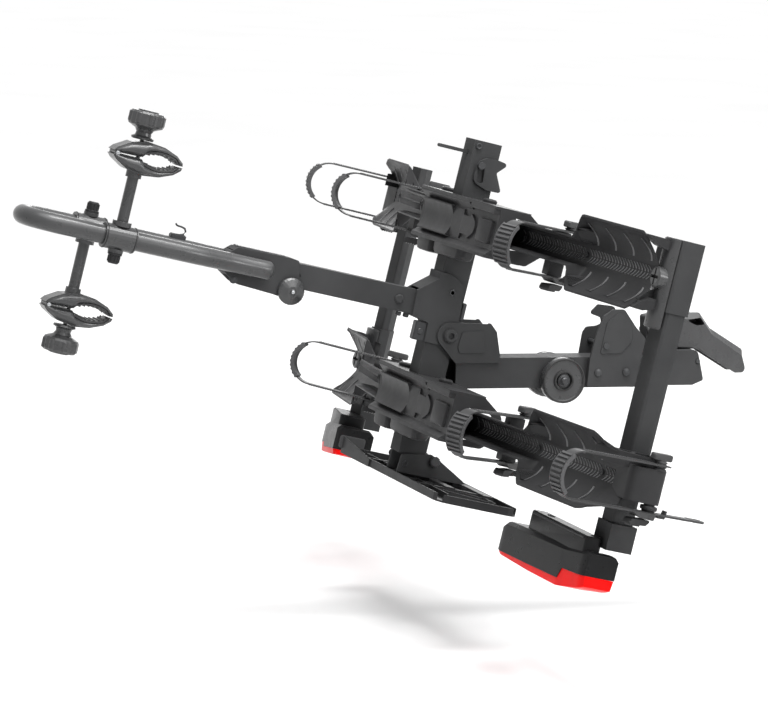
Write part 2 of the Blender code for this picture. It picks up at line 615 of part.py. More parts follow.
def side_tubes():
    """Uprights that join the rows, open below, each with a sleeve, a boss for the short tray and a foot block."""
    for name, side, row in (("near", -1, ROW_UPPER), ("far", 1, ROW_LOWER)):
        section = [(x, side * u) for x, u in tube_section()]
        tube = node(f"side_tube_{name}", prism(section, TUBE_BOTTOM, TUBE_TOP, "XY"), COATED, PLATFORM)
        sleeve = [(x, side * u) for x, u in tube_section(SLEEVE_WALL)]
        join(tube, prism(sleeve, row + SLEEVE_DOWN, row + SLEEVE_UP, "XY"))
        middle = side * (TUBE_INNER + TUBE_WIDTH * 0.62)
        boss = rod(0.0165, TUBE_FRONT - 0.014, TUBE_FRONT + 0.006, (0.0, middle, row + 0.008), "X", 20)
        join(tube, boss)
        cut(tube, rod(0.0125, TUBE_FRONT - 0.020, TUBE_FRONT - 0.001, (0.0, middle, row + 0.008), "X", 18))
        foot_y = sorted((side * (TUBE_INNER - 0.004), side * (TUBE_INNER + TUBE_WIDTH + 0.003)))
        foot = block((TUBE_FRONT - 0.003, TUBE_FRONT + 0.040), foot_y, (TUBE_BOTTOM - 0.001, TUBE_BOTTOM + 0.040))
        join(tube, foot)
        bore = [(x, side * u) for x, u in tube_section(-TUBE_WALL)]
        cut(tube, prism(bore, TUBE_BOTTOM - 0.01, TUBE_TOP - 0.005, "XY"))


def tray_floor(u):
    """X of a tray's floor at the distance u out from the middle."""
    return TRAY_FLOOR_AT_ROOT + (u - TRAY_ROOT) * tan(TRAY_SLOPE)


def tray_section(u, down, up, depth, side, row):
    """Closed loop of a tray's wall at one station: the inner outline, then the outer one back."""
    wall = TRAY_WALL
    inner = [(-down, depth), (-down * 0.86, depth * 0.74), (-0.6 * NECK_HALF, depth * 0.10), (-0.010, 0.0),
             (0.010, 0.0), (0.6 * NECK_HALF, depth * 0.10), (up * 0.80, depth * 0.70), (up, depth)]
    outer = [(-down - wall, depth), (-down * 0.86 - wall, depth * 0.70), (-0.6 * NECK_HALF - wall * 0.6, -wall * 0.3),
             (-0.010, -wall), (0.010, -wall), (0.6 * NECK_HALF + wall * 0.6, -wall * 0.3),
             (up * 0.80 + wall, depth * 0.66), (up + wall, depth)]
    floor = tray_floor(u)
    return [(floor - rise, side * u, row + z) for z, rise in inner + outer[::-1]]


def trays():
    """Wheel trays: a deep neck towards the middle, then a trough with wings that run up both its sides."""
    layout = (("upper_near", -1, ROW_UPPER, False), ("upper_far", 1, ROW_UPPER, True),
              ("lower_near", -1, ROW_LOWER, True), ("lower_far", 1, ROW_LOWER, False))
    for name, side, row, is_long in layout:
        neck = (NECK_HALF - TRAY_WALL, NECK_HALF - TRAY_WALL, NECK_DEPTH)
        wing = (WING_DOWN, WING_UP, WING_DEPTH)
        stations = [(TRAY_ROOT, *neck), (WING_START - 0.006, *neck), (WING_START, *wing), (SHORT_TRAY_END, *wing)]
        if is_long:
            stations += [(0.575, WING_DOWN * 0.86, WING_UP * 0.84, WING_DEPTH),
                         (LONG_TRAY_END, WING_DOWN * 0.74, WING_UP * 0.80, WING_DEPTH + 0.002)]
        loops = [tray_section(u, down, up, depth, side, row) for u, down, up, depth in stations]
        tray = node(f"tray_{name}", loft(loops), MOULDED, PLATFORM)
        lug_seat = STRAP_RADIUS - GAP
        for z in ((NECK_HALF - 0.0035, lug_seat), (-lug_seat, 0.0035 - NECK_HALF)):
            u = sorted((side * (INNER_STRAP_AT[0] - 0.002), side * (INNER_STRAP_AT[0] + 0.024)))
            join(tray, block((INNER_STRAP_AT[1] - 0.0355, INNER_STRAP_AT[1] - 0.014), u, (row + z[0], row + z[1])))
        if is_long:
            u = sorted((side * (TUBE_INNER + TUBE_WIDTH + 0.001), side * (OUTER_STRAP_AT[0] + 0.010)))
            x = (OUTER_STRAP_AT[1] - 0.0355, OUTER_STRAP_AT[1])
            join(tray, block(x, u, (row - lug_seat, row + lug_seat)))
        else:
            shelf = TUBE_FRONT - SLEEVE_WALL - GAP
            rim = tray_floor(SHORT_TRAY_END) - WING_DEPTH
            for z, height in ((WING_UP - 0.014, 0.014), (-WING_DOWN, 0.012)):
                reach = sorted((side * (SHORT_TRAY_END - 0.010), side * (TUBE_INNER + 0.030)))
                join(tray, block((rim + 0.002, shelf), reach, (row + z, row + z + height)))


def strap_matrix(side, row, base_u, base_x, lean):
    """Places a strap that is drawn in its own plane: X runs out along the strap, Z up, Y across the band."""
    along = Vector((-cos(lean), side * sin(lean), 0.0))
    up = Vector((0.0, 0.0, 1.0))
    across = up.cross(along)
    place = Matrix((along, across, up)).transposed().to_4x4()
    place.translation = (base_x, side * base_u, row)
    return place


def strap_outline(reach, inside, outside):
    """Outline of a band of the given distances from the strap's inner line, open at its held ends."""
    centre = reach - STRAP_RADIUS
    outer = [(0.0, -STRAP_RADIUS - outside)] + arc((centre, 0.0), STRAP_RADIUS + outside, -90, 90, 12)
    outer.append((0.0, STRAP_RADIUS + outside))
    inner = [(0.0, STRAP_RADIUS + inside)] + arc((centre, 0.0), STRAP_RADIUS + inside, 90, -90, 12)
    inner.append((0.0, -STRAP_RADIUS - inside))
    return outer + inner


def straps():
    """Ladder straps held at both ends, each with a ribbed pad, a T end on top and a buckle lever below."""
    inner = (*INNER_STRAP_AT, radians(32), STRAP_REACH)
    outer = (*OUTER_STRAP_AT, radians(13), STRAP_REACH + 0.008)
    layout = (("a", 1, ROW_UPPER, outer), ("b", 1, ROW_UPPER, inner), ("c", -1, ROW_UPPER, inner),
              ("d", 1, ROW_LOWER, inner), ("e", -1, ROW_LOWER, inner), ("f", -1, ROW_LOWER, outer))
    for name, side, row, (base_u, base_x, lean, reach) in layout:
        place = strap_matrix(side, row, base_u, base_x, lean)
        band = prism(strap_outline(reach, 0.0, BAND_THICKNESS), *both(BAND_WIDTH / 2))
        strap = node(f"strap_{name}", placed(band, place), MOULDED, PLATFORM)
        centre = (reach - STRAP_RADIUS, 0.0)
        half = PAD_SPAN
        span = (-half * 180 / pi, half * 180 / pi)
        pad = arc(centre, STRAP_RADIUS - 0.002, span[1], span[0], 8)
        ribs = 9
        for i in range(ribs):
            start = span[0] + (span[1] - span[0]) * i / ribs
            end = span[0] + (span[1] - span[0]) * (i + 0.55) / ribs
            stop = span[0] + (span[1] - span[0]) * (i + 1) / ribs
            pad += arc(centre, STRAP_RADIUS + PAD_THICKNESS - 0.002, start, end, 1)
            pad += arc(centre, STRAP_RADIUS + PAD_THICKNESS - 0.0045, end, stop, 1)
        join(strap, placed(prism(pad, *both(PAD_WIDTH / 2)), place))
        top = STRAP_RADIUS + BAND_THICKNESS
        stem = block((0.002, 0.012), both(0.005), (top - 0.001, top + 0.013))
        bar = prism(rounded([(-0.001, -0.018, 0.004), (0.015, -0.014, 0.004), (0.015, 0.014, 0.004),
                             (-0.001, 0.010, 0.004)]), top + 0.0125, top + 0.018, "XY")
        join(strap, placed(stem, place), placed(bar, place))
        cheek = rounded([(-0.004, -top + 0.001), (-0.004, -top - 0.009, 0.003), (0.020, -top - 0.007, 0.003),
                         (0.030, -top + 0.001)])
        join(strap, placed(prism(cheek, *both(BAND_WIDTH / 2 + 0.002)), place))
        gap = -top - 0.0095
        grip = rounded([(-0.006, gap, 0.002), (0.006, gap, 0.004), (LEVER_LENGTH - 0.006, gap - 0.001, 0.004),
                        (LEVER_LENGTH, gap - 0.012, 0.003), (LEVER_LENGTH - 0.010, gap - 0.010, 0.004),
                        (0.002, gap - 0.009, 0.004)])
        pivot = place @ Vector((0.0, 0.0, gap - 0.0045))
        lever = prism(grip, *both(BAND_WIDTH / 2 - 0.001))
        node(f"buckle_lever_{name}", placed(lever, place), MOULDED, PLATFORM, pivot)


def centre_mouldings():
    """Cradles clamped on the post: a web before it, with flanges above and below that run past its sides."""
    for name, row in (("upper", ROW_UPPER), ("lower", ROW_LOWER)):
        front = POST_FRONT - GAP
        low = row - NECK_HALF - GAP - FLANGE
        high = row + MOULDING_UP
        edge = front - MOULDING_LIP
        plan = rounded([(edge, -MOULDING_HALF, 0.004), (edge, MOULDING_HALF, 0.004),
                        (MOULDING_BACK, MOULDING_HALF, 0.012), (MOULDING_BACK, -MOULDING_HALF, 0.012)])
        body = node(f"centre_moulding_{name}", prism(plan, low, high, "XY"), MOULDED, PLATFORM)
        mouth = (edge - 0.01, front - MOULDING_WEB)
        cut(body, block(mouth, both(MOULDING_HALF + 0.01), (low + FLANGE, high - FLANGE)))
        for side in (-1, 1):
            y = sorted((side * (POST_WIDTH / 2 + 0.012), side * (MOULDING_HALF + 0.01)))
            cut(body, block((front, MOULDING_BACK + 0.01), y, (low + FLANGE, high - FLANGE)))
        cut(body, block((front, MOULDING_BACK + 0.01), both(POST_WIDTH / 2 + GAP), (low - 0.01, high + 0.01)))
        for y in (-0.042, 0.042):
            join(body, rod(0.0125, low - 0.021, low + 0.002, (edge + 0.004, y, 0.0), "Z", 14))
        for y in (-0.085, 0.085):
            join(body, rod(0.0095, high - 0.002, high + 0.005, (-0.012, y, 0.0), "Z", 6))


def lamp_loop(u, front, low, high):
    """A lamp's cross section at the distance u out from the middle, with its upper corners taken off."""
    back = front + LAMP_DEPTH
    corner = 0.006
    loop = [(front, low), (back, low), (back, high - corner), (back - corner, high), (front + corner, high),
            (front, high - corner)]
    return [(x, u, z) for x, z in loop]


def lamps():
    """Tail lamps under the side tubes: a carrier and housing in one, and a red lens that faces down."""
    stations = ((LAMP_INNER, 0.059, -0.252, -0.290, -0.299), (LAMP_INNER + 0.014, 0.058, -0.246, -0.289, -0.302),
                (0.505, 0.064, -0.243, -0.284, -0.302), (0.515, 0.065, -0.242, -0.274, -0.301),
                (LAMP_OUTER - 0.012, LAMP_FRONT, LAMP_TOP, -0.272, -0.292),
                (LAMP_OUTER, LAMP_FRONT + 0.004, LAMP_TOP - 0.002, -0.271, -0.288))
    for name, side in (("near", -1), ("far", 1)):
        loops = [lamp_loop(side * u, front, low, high) for u, front, high, low, _ in stations]
        housing = node(f"lamp_housing_{name}", loft(loops), MOULDED, PLATFORM)
        carrier = rounded([(0.069, CARRIER_INNER, 0.008), (0.069, 0.570, 0.004), (TUBE_FRONT - 0.004, 0.570, 0.004),
                           (TUBE_FRONT - 0.004, CARRIER_INNER, 0.008)])
        carrier = [(x, side * y) for x, y in carrier]
        join(housing, prism(carrier, LAMP_TOP - 0.016, CARRIER_TOP, "XY"))
        glass = []
        for u, front, _, low, bottom in stations:
            back = front + LAMP_DEPTH
            lens = [(front + 0.001, low - GAP), (back - 0.001, low - GAP), (back - 0.003, bottom),
                    (front + 0.003, bottom)]
            glass.append([(x, side * u, z) for x, z in lens])
        node(f"lamp_lens_{name}", loft(glass), RED_LENS, PLATFORM)


def plate_holder():
    """Number plate frame with a lip all round and ribs, and the bracket that bolts it to the post's foot."""
    x = (HOLDER_FRONT, HOLDER_FRONT + HOLDER_DEPTH)
    y = both(HOLDER_HALF)
    z = (HOLDER_BOTTOM, HOLDER_BOTTOM + HOLDER_LIP)
    plan = rounded([(x[0], y[0], 0.020), (x[0], y[1], 0.020), (x[1], y[1], 0.020), (x[1], y[0], 0.020)])
    holder = node("plate_holder", prism(plan, *z, "XY"), MOULDED, PLATFORM)
    lip = HOLDER_SHEET
    floor = z[0] + HOLDER_SHEET
    for i in range(4):
        pitch = (y[1] - y[0]) / 4
        low = y[0] + pitch * i + lip
        high = y[0] + pitch * (i + 1) - lip
        cut(holder, block((x[0] + lip, x[1] - lip), (low, high), (floor, z[1] + 0.01)))
    for side in (-1, 1):
        window = rounded([(x[0] + 0.030, side * 0.045, 0.004), (x[0] + 0.030, side * 0.190, 0.004),
                          (x[1] - 0.030, side * 0.190, 0.004), (x[1] - 0.030, side * 0.045, 0.004)])
        cut(holder, prism(window, z[0] - 0.01, floor + 0.005, "XY"))

    inner = POST_WIDTH / 2 + GAP
    top = HOLDER_BOTTOM + HOLDER_LIP + GAP
    cheek = rounded([(-0.046, top), (-0.039, -0.200, 0.004), (0.020, -0.196, 0.004), (0.038, -0.204, 0.008),
                     (0.084, top + 0.006, 0.004), (0.090, top)])
    bracket = node("plate_bracket", prism(cheek, *both(inner + SHOE_SHEET)), COATED, PLATFORM)
    cut(bracket, block((POST_FRONT - GAP, POST_BACK + GAP), both(inner), (POST_BOTTOM - GAP, -0.15)))
    cut(bracket, block((0.020, 0.100), both(inner - 0.003), (top + 0.004, -0.180)))
    join(bracket, rod(0.0075, *both(inner + SHOE_SHEET + 0.004), (0.0265, 0.0, -0.206), steps=14))


def hoop():
    """Bent tube with its legs beside a channel bracket, which folds at the disc knob on the arm."""
    fold = (FOLD_AT[0], 0.0, FOLD_AT[1])
    root_half = 0.0355
    route = [(HOOP_ROOT, -root_half), (HOOP_ROOT - 0.050, -root_half), (HOOP_ROOT - 0.110, -HOOP_HALF + 0.003),
             (HOOP_ROOT - 0.150, -HOOP_HALF), (HOOP_TIP + HOOP_HALF + 0.015, -HOOP_HALF)]
    centre = HOOP_TIP + HOOP_TUBE_RADIUS + HOOP_HALF
    bend = [(centre + HOOP_HALF * cos(a), HOOP_HALF * sin(a)) for a in (radians(270 - 22.5 * i) for i in range(9))]
    path = route[:-1] + bend + [(x, -y) for x, y in route[:-1]][::-1]
    curve = bpy.data.curves.new("hoop_tube", "CURVE")
    curve.dimensions = "3D"
    curve.bevel_depth = HOOP_TUBE_RADIUS
    curve.bevel_resolution = 3
    curve.use_fill_caps = True
    spline = curve.splines.new("POLY")
    spline.points.add(len(path) - 1)
    for point, (x, y) in zip(spline.points, path):
        point.co = (x - fold[0], y, HOOP_LEVEL - fold[2], 1.0)
    curve.materials.append(COATED)
    tube = bpy.data.objects.new("hoop_tube", curve)
    bpy.context.scene.collection.objects.link(tube)
    tube.parent = PLATFORM
    tube.location = fold

    inside = ARM_WIDTH / 2 + GAP
    outside = root_half - HOOP_TUBE_RADIUS - GAP
    side_view = rounded([(BRACKET_REAR, 0.0209, 0.006), (-0.374, 0.0064, 0.012), (-0.312, 0.0031, 0.010),
                         (-0.281, 0.000, 0.010), (-0.266, 0.014, 0.012), (BRACKET_FRONT + 0.001, 0.0640, 0.003),
                         (-0.295, 0.0657, 0.003), (-0.384, 0.0639, 0.004), (BRACKET_REAR, 0.0520, 0.006)])
    bracket = node("hoop_bracket", prism(side_view, -outside, outside), COATED, PLATFORM, fold)
    cut(bracket, block((-0.320, -0.240), both(inside), (ARM_LOW - GAP, 0.0620)))
    cut(bracket, block((-0.330, -0.240), both(inside), (-0.020, ARM_LOW + 0.005)))
    cut(bracket, block((-0.392, -0.334), both(inside - 0.001), (-0.020, 0.058)))
    cut(bracket, rod(FOLD_PIN_RADIUS + GAP, *both(0.05), fold, steps=14))
    face = outside + GAP
    knob = [(0.0, -face - 0.016), (0.004, -face - 0.016), (0.0045, -face - 0.0145), (0.009, -face - 0.0145),
            (FOLD_KNOB_RADIUS - 0.003, -face - 0.009), (FOLD_KNOB_RADIUS, -face - 0.006),
            (FOLD_KNOB_RADIUS, -face - 0.001), (FOLD_KNOB_RADIUS - 0.001, -face), (FOLD_PIN_RADIUS, -face),
            (FOLD_PIN_RADIUS, face), (0.008, face), (0.008, face + 0.005), (0.0, face + 0.005)]
    node("fold_knob", turned(knob, fold, steps=22), MOULDED, PLATFORM, fold)


def jaw_outline(lower):
    """Half of a bird's-beak clamp seen from its side, from the pin at the rear to the lip at the front."""
    sign = -1 if lower else 1
    back = [(-0.050, sign * 0.0034), (-0.044, sign * 0.010), (-0.024, sign * 0.0215), (0.004, sign * 0.0265),
            (0.030, sign * 0.0235), (0.052, sign * 0.0150), (0.063, sign * 0.0060), (0.064, sign * 0.0012)]
    mouth = [(0.058, sign * 0.0012)]
    teeth = 6
    for i in range(teeth):
        for k, depth in ((0.15, 0.0), (0.65, 0.0014)):
            t = (i + k) / teeth
            x = 0.054 - 0.056 * t
            mouth.append((x, sign * (0.0018 + (0.0092 + depth) * sin(pi * (0.10 + 0.80 * t)))))
    return back + mouth + [(-0.006, sign * 0.0012), (-0.042, sign * 0.0008)]


def frame_clamp(name, side, at, direction, length):
    """Collar on the hoop, rod with a fixed jaw, moving jaw on its pin, and the two knobs."""
    y = side * HOOP_HALF
    collar_outer = HOOP_TUBE_RADIUS + 0.005
    centre = (at, y, HOOP_LEVEL)
    half = COLLAR_LENGTH / 2
    inner = HOOP_TUBE_RADIUS + GAP
    ring = [(inner, -half), (collar_outer, -half), (collar_outer, half), (inner, half)]
    collar = node(f"clamp_collar_{name}", turned(ring, centre, "X", 24), MOULDED, PLATFORM, centre)
    boss = sorted((direction * (collar_outer - 0.002), direction * (collar_outer + 0.006)))
    join(collar, rod(0.015, *boss, centre, "Z", 20))
    seat = sorted((-direction * (collar_outer - 0.002), -direction * (collar_outer + 0.004)))
    join(collar, rod(0.012, *seat, centre, "Z", 20))
    base = collar_outer + 0.006 + GAP
    head = length + 0.006
    low, high = sorted((direction * base, direction * head))
    stem = rod(ROD_RADIUS, low, high, centre, "Z", 18)
    jaw_centre = HOOP_LEVEL + direction * (length + 0.029)
    reach = JAW_FORWARD
    fixed = [(at + reach + x, jaw_centre + direction * z) for x, z in jaw_outline(True)]
    moving = [(at + reach + x, jaw_centre + direction * z) for x, z in jaw_outline(False)]
    width = (y - JAW_WIDTH / 2, y + JAW_WIDTH / 2)
    held = node(f"clamp_rod_{name}", prism(fixed, *width), MOULDED, PLATFORM, centre)
    join(held, stem)
    socket = sorted((direction * (length - 0.004), direction * (length + 0.012)))
    join(held, rod(0.0125, *socket, centre, "Z", 18))
    rise = length + 0.029 + 0.0268
    stem = sorted((direction * length, direction * (rise + SCREW_TRAVEL + 0.002)))
    join(held, rod(SCREW_RADIUS, *stem, centre, "Z", 12))
    pin = (at + reach - 0.043, y, jaw_centre)
    knuckle = rod(0.0042, *both(JAW_WIDTH / 2 - 0.001), pin, steps=14)
    cut(held, rod(0.0048, *both(JAW_WIDTH / 2 + 0.001), pin, steps=14))
    jaw = node(f"clamp_jaw_{name}", prism(moving, *width), MOULDED, PLATFORM, pin)
    join(jaw, knuckle)
    slot_half = SCREW_RADIUS + SLIDE_FIT
    slot_z = sorted((jaw_centre - direction * 0.002, jaw_centre + direction * 0.030))
    cut(jaw, block((at - slot_half, at + 0.0155), (y - slot_half, y + slot_half), slot_z))
    top = jaw_centre + direction * 0.0268
    knob_centre = (at, y, top)
    profile = [(0.0, 0.0006), (0.0170, 0.0006), (0.0186, 0.0040), (0.0130, 0.0070), (0.0120, 0.0120),
               (0.0150, 0.0170), (0.0270, 0.0225), (0.0285, 0.0260), (0.0280, 0.0410), (0.0255, 0.0445),
               (0.0, 0.0455)]
    profile = [(radius, direction * height) for radius, height in profile]
    knob = node(f"clamp_knob_{name}", turned(profile, knob_centre, "Z", 20), MOULDED, PLATFORM, knob_centre)
    bore = sorted((-direction * 0.005, direction * (SCREW_TRAVEL + 0.004)))
    cut(knob, rod(SCREW_RADIUS + GAP, *bore, knob_centre, "Z", 12))
    knob_base = collar_outer + 0.004 + GAP
    small = [(0.0, knob_base), (0.0115, knob_base), (0.0115, knob_base + 0.003), (0.0095, knob_base + 0.004),
             (0.0090, knob_base + 0.015), (0.0075, knob_base + 0.017), (0.0, knob_base + 0.017)]
    small = [(radius, -direction * height) for radius, height in small]
    node(f"collar_knob_{name}", turned(small, centre, "Z", 16), MOULDED, PLATFORM, centre)


hitch_beam()
hinge_plates()
pivot_bolt()
claw_plates()
claw_pin()
coupling()
transport_wheels()
centre_post()
catch()
arm()
side_tubes()
trays()
straps()
centre_mouldings()
lamps()
plate_holder()
hoop()
frame_clamp("near", -1, NEAR_CLAMP_AT, 1, NEAR_ROD)
frame_clamp("far", 1, FAR_CLAMP_AT, -1, FAR_ROD)
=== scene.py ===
"""Looks of the tow ball bike rack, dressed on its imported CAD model."""
import json
from math import cos, pi, radians, sin, tan

import bmesh
import bpy
from mathutils import Matrix, Vector


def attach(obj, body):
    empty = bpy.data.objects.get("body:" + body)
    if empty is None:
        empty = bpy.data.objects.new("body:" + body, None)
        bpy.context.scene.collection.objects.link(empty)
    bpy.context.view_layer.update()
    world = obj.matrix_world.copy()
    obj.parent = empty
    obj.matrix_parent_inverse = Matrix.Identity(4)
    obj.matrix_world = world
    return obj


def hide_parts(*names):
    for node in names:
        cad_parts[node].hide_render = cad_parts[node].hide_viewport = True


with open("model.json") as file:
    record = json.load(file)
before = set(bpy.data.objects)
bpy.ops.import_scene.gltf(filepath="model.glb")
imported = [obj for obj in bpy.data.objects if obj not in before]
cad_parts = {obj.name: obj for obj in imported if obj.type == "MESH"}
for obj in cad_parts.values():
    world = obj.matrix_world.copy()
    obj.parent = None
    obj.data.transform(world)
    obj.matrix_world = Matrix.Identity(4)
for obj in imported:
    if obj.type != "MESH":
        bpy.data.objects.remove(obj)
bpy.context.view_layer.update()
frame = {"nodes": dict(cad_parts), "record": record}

# Main sizes, shared with the CAD source. The lengths of all shapes are in millimetres; piece() makes metres of them.
# The frames of the hitch and of the platform, which leans by TILT, both start at the pivot.
PIVOT = Vector((-405, 0, 80))
TILT = radians(12)
GAP = 0.3
ROWS = {"upper": 176.8, "lower": -120.1}
TROUGHS = {"upper": 187.5, "lower": -119.6}
POST_HALF = 20
POST_FRONT = -36
TRAY_SLOPE = radians(9)
TRAY_ROOT = 40.3
TRAY_WALL = 3.2
TRAY_SCREWS = (181, 362, 543)
NECK_HALF = 24.5
NECK_DEPTH = 36
WING_START = 378
WING_HALF = 57
WING_DEPTH = 34
SHORT_END = 556
LONG_END = 614
TUBE_INNER = 532.5
TUBE_WIDTH = 45
TUBE_FRONT = 101
SLEEVE_WALL = 3
BOSS_OUT = TUBE_INNER + TUBE_WIDTH * 0.62
BOSS_UP = 8
STRAP_RADIUS = 35.5
BAND = 2.2
BAND_HALF = 10
PAD_HALF = 13
STRAP_TAIL = 84
INNER_STRAP = (286.6, 54.2, radians(32), 183)
OUTER_STRAP = (625.3, 136.7, radians(13), 191)
BUCKLE_PIN = 12
MOULDING_HALF = 205
MOULDING_FAR = 124
MOULDING_UP = 48
MOULDING_DOWN = 34.8
MOULDING_LIP = 14
MOULDING_WEB = 4
MOULDING_BACK = 16
CHEEK_BACK = 47
CHEEK_SHEET = 4
FLANGE = 4.5
LEVER_PIN = (372, 4)
LEVER_HALF = 20
WHEEL_AXLE = (198, 0, -74)
WHEEL_FACE = 42.7
PLATE_KNOB = (26.5, 0, -206)
PLATE_FLOOR = -244.6
HOOP_LEVEL = 39
HOOP_HALF = 50
HOOP_TIP = -748
TUBE_RADIUS = 15
FOLD_AT = (-283, 0, 14)

METRES = Matrix.Scale(0.001, 4)
HITCH = Matrix.Translation(PIVOT)
PLATFORM = HITCH @ Matrix.Rotation(TILT, 4, "Y")


# Materials

def shader_nodes(name):
    """A new material, its tree, its Principled shader and its object coordinates."""
    made = bpy.data.materials.new(name)
    made.use_nodes = True
    tree = made.node_tree
    return made, tree, tree.nodes["Principled BSDF"], tree.nodes.new("ShaderNodeTexCoord").outputs["Object"]


def feed(tree, socket, value):
    """Links an input to a node's output, or sets it."""
    if isinstance(value, bpy.types.NodeSocket):
        tree.links.new(value, socket)
    else:
        socket.default_value = value


def fill(tree, node, **values):
    """Links or sets a node's inputs; an underscore in a name stands for a space."""
    for name, value in values.items():
        feed(tree, node.inputs[name.replace("_", " ")], value)
    return node


def add_node(tree, kind, **values):
    return fill(tree, tree.nodes.new(f"ShaderNode{kind}"), **values)


def noise(tree, place, scale, detail=2.0, rough=0.5):
    return add_node(tree, "TexNoise", Vector=place, Scale=scale, Detail=detail, Roughness=rough).outputs["Fac"]


def spread(tree, value, low, high, start=0.3, end=0.7):
    """A value remapped to the range from low to high."""
    return add_node(tree, "MapRange", Value=value, From_Min=start, From_Max=end, To_Min=low,
                    To_Max=high).outputs["Result"]


def tint(tree, value, dark, pale):
    made = add_node(tree, "ValToRGB", Fac=value)
    for element, colour, position in zip(made.color_ramp.elements, (dark, pale), (0.3, 0.7)):
        element.color = (*colour, 1.0)
        element.position = position
    return made.outputs["Color"]


def maths(tree, operation, first, second):
    """A Math node's result; each of its inputs is linked or set."""
    made = tree.nodes.new("ShaderNodeMath")
    made.operation = operation
    feed(tree, made.inputs[0], first)
    feed(tree, made.inputs[1], second)
    return made.outputs[0]


def bumped(tree, shader, layers, edge=0.0):
    """Bump nodes chained into the shader, over softened edges; each layer is (height, depth, strength)."""
    normal = None
    if edge:
        soft = add_node(tree, "Bevel", Radius=edge)
        soft.samples = 4
        normal = soft.outputs["Normal"]
    for height, depth, strength in layers:
        made = add_node(tree, "Bump", Height=height, Distance=depth, Strength=strength)
        if normal:
            tree.links.new(normal, made.inputs["Normal"])
        normal = made.outputs["Normal"]
    tree.links.new(normal, shader.inputs["Normal"])


def grained(name, dark, pale, rough, grain, depth, specular=0.4, metallic=0.0, edge=0.0009):
    """A painted or moulded surface: fine grain, faint drifts of tone and of gloss."""
    made, tree, shader, place = shader_nodes(name)
    drift = noise(tree, place, 14.0, 3.0)
    fine = noise(tree, place, grain, 3.0, 0.6)
    patch = noise(tree, place, 60.0, 4.0, 0.6)
    bumped(tree, shader, [(fine, depth, 0.5), (patch, depth * 2, 0.12)], edge)
    fill(tree, shader, Base_Color=tint(tree, drift, dark, pale), Roughness=spread(tree, patch, *rough),
         Specular_IOR_Level=specular, Metallic=metallic)
    return made


def lens(name, dark, pale):
    """Red lens with rows of small prisms moulded inside its face."""
    made, tree, shader, place = shader_nodes(name)
    split = add_node(tree, "SeparateXYZ", Vector=place)
    prisms = maths(tree, "ADD", *(maths(tree, "PINGPONG", split.outputs[axis], 0.0025) for axis in "XY"))
    drift = noise(tree, place, 30.0, 2.0)
    bumped(tree, shader, [(prisms, 0.04, 0.06)])
    fill(tree, shader, Base_Color=tint(tree, drift, dark, pale), Roughness=spread(tree, drift, 0.30, 0.38),
         Specular_IOR_Level=0.08, Subsurface_Weight=0.05, Subsurface_Radius=(0.004, 0.0005, 0.0005))
    return made


COATED = grained("satin_powder_coat", (0.046, 0.0465, 0.0475), (0.058, 0.0585, 0.0595), (0.38, 0.48), 1500.0,
                 0.00005, 0.012)
SATIN = grained("satin_black", (0.036, 0.0365, 0.0375), (0.047, 0.0475, 0.0485), (0.25, 0.32), 1800.0, 0.00004, 0.45)
LAMP_BLACK = grained("lamp_black", (0.010, 0.010, 0.0105), (0.014, 0.014, 0.0145), (0.26, 0.34), 2600.0, 0.00003, 0.10)
PLASTIC = grained("moulded_black", (0.030, 0.030, 0.031), (0.040, 0.040, 0.041), (0.32, 0.43), 2600.0, 0.00004, 0.08)
# Painted highlight: the tread ridges and fin crests are the same black plastic as the trays, but this pale grey stands
# in for the light caught on their tops.
RIDGE_PAINTED_HIGHLIGHT = grained("ridge_painted_highlight", (0.170, 0.170, 0.173), (0.220, 0.220, 0.224), (0.34, 0.44), 2200.0, 0.00003, 0.20,
                edge=0.0003)
SOFT_BLACK = grained("soft_black", (0.036, 0.036, 0.036), (0.048, 0.048, 0.048), (0.54, 0.68), 1900.0, 0.00006, 0.08)
STRAP_BLACK = grained("strap_black", (0.045, 0.045, 0.046), (0.060, 0.060, 0.061), (0.36, 0.48), 2400.0, 0.00004,
                      0.15, edge=0.0004)
PAD_GREY = grained("pad_grey", (0.070, 0.070, 0.072), (0.092, 0.092, 0.094), (0.44, 0.56), 1800.0, 0.00005, 0.15,
                   edge=0.0005)
ZINC = grained("zinc_plate", (0.34, 0.35, 0.36), (0.48, 0.49, 0.50), (0.24, 0.40), 2400.0, 0.00003, 0.5, 0.9, 0.0003)
BLACK_ZINC = grained("black_zinc", (0.040, 0.041, 0.043), (0.058, 0.059, 0.061), (0.30, 0.42), 2400.0, 0.00003,
                     0.20, 0.25, 0.0004)
RED = lens("red_lens", (0.78, 0.0025, 0.0020), (0.90, 0.0045, 0.0035))

FINISHES = {"coated_steel": COATED, "moulded_plastic": PLASTIC, "rubber": SOFT_BLACK, "zinc_plate": BLACK_ZINC,
            "red_lens": RED}
SATIN_NODES = ("clamp_knob", "clamp_jaw", "clamp_rod", "clamp_collar", "fold_knob", "wheel_near", "wheel_far")
for part in frame["record"]["subparts"]:
    mesh = frame["nodes"][part["node"]].data
    mesh.materials.clear()
    mesh.materials.append(SATIN if part["node"].startswith(SATIN_NODES) else FINISHES[part["material_slot"]])


# Shapes

PLANES = {"XZ": lambda a, b, h: (a, h, b), "XY": lambda a, b, h: (a, b, h), "YZ": lambda a, b, h: (h, a, b)}


def arc(centre, radius, start, end, steps):
    """Points of an arc in a plane, its angles in degrees."""
    angles = [radians(start + (end - start) * i / steps) for i in range(steps + 1)]
    return [(centre[0] + radius * cos(a), centre[1] + radius * sin(a)) for a in angles]


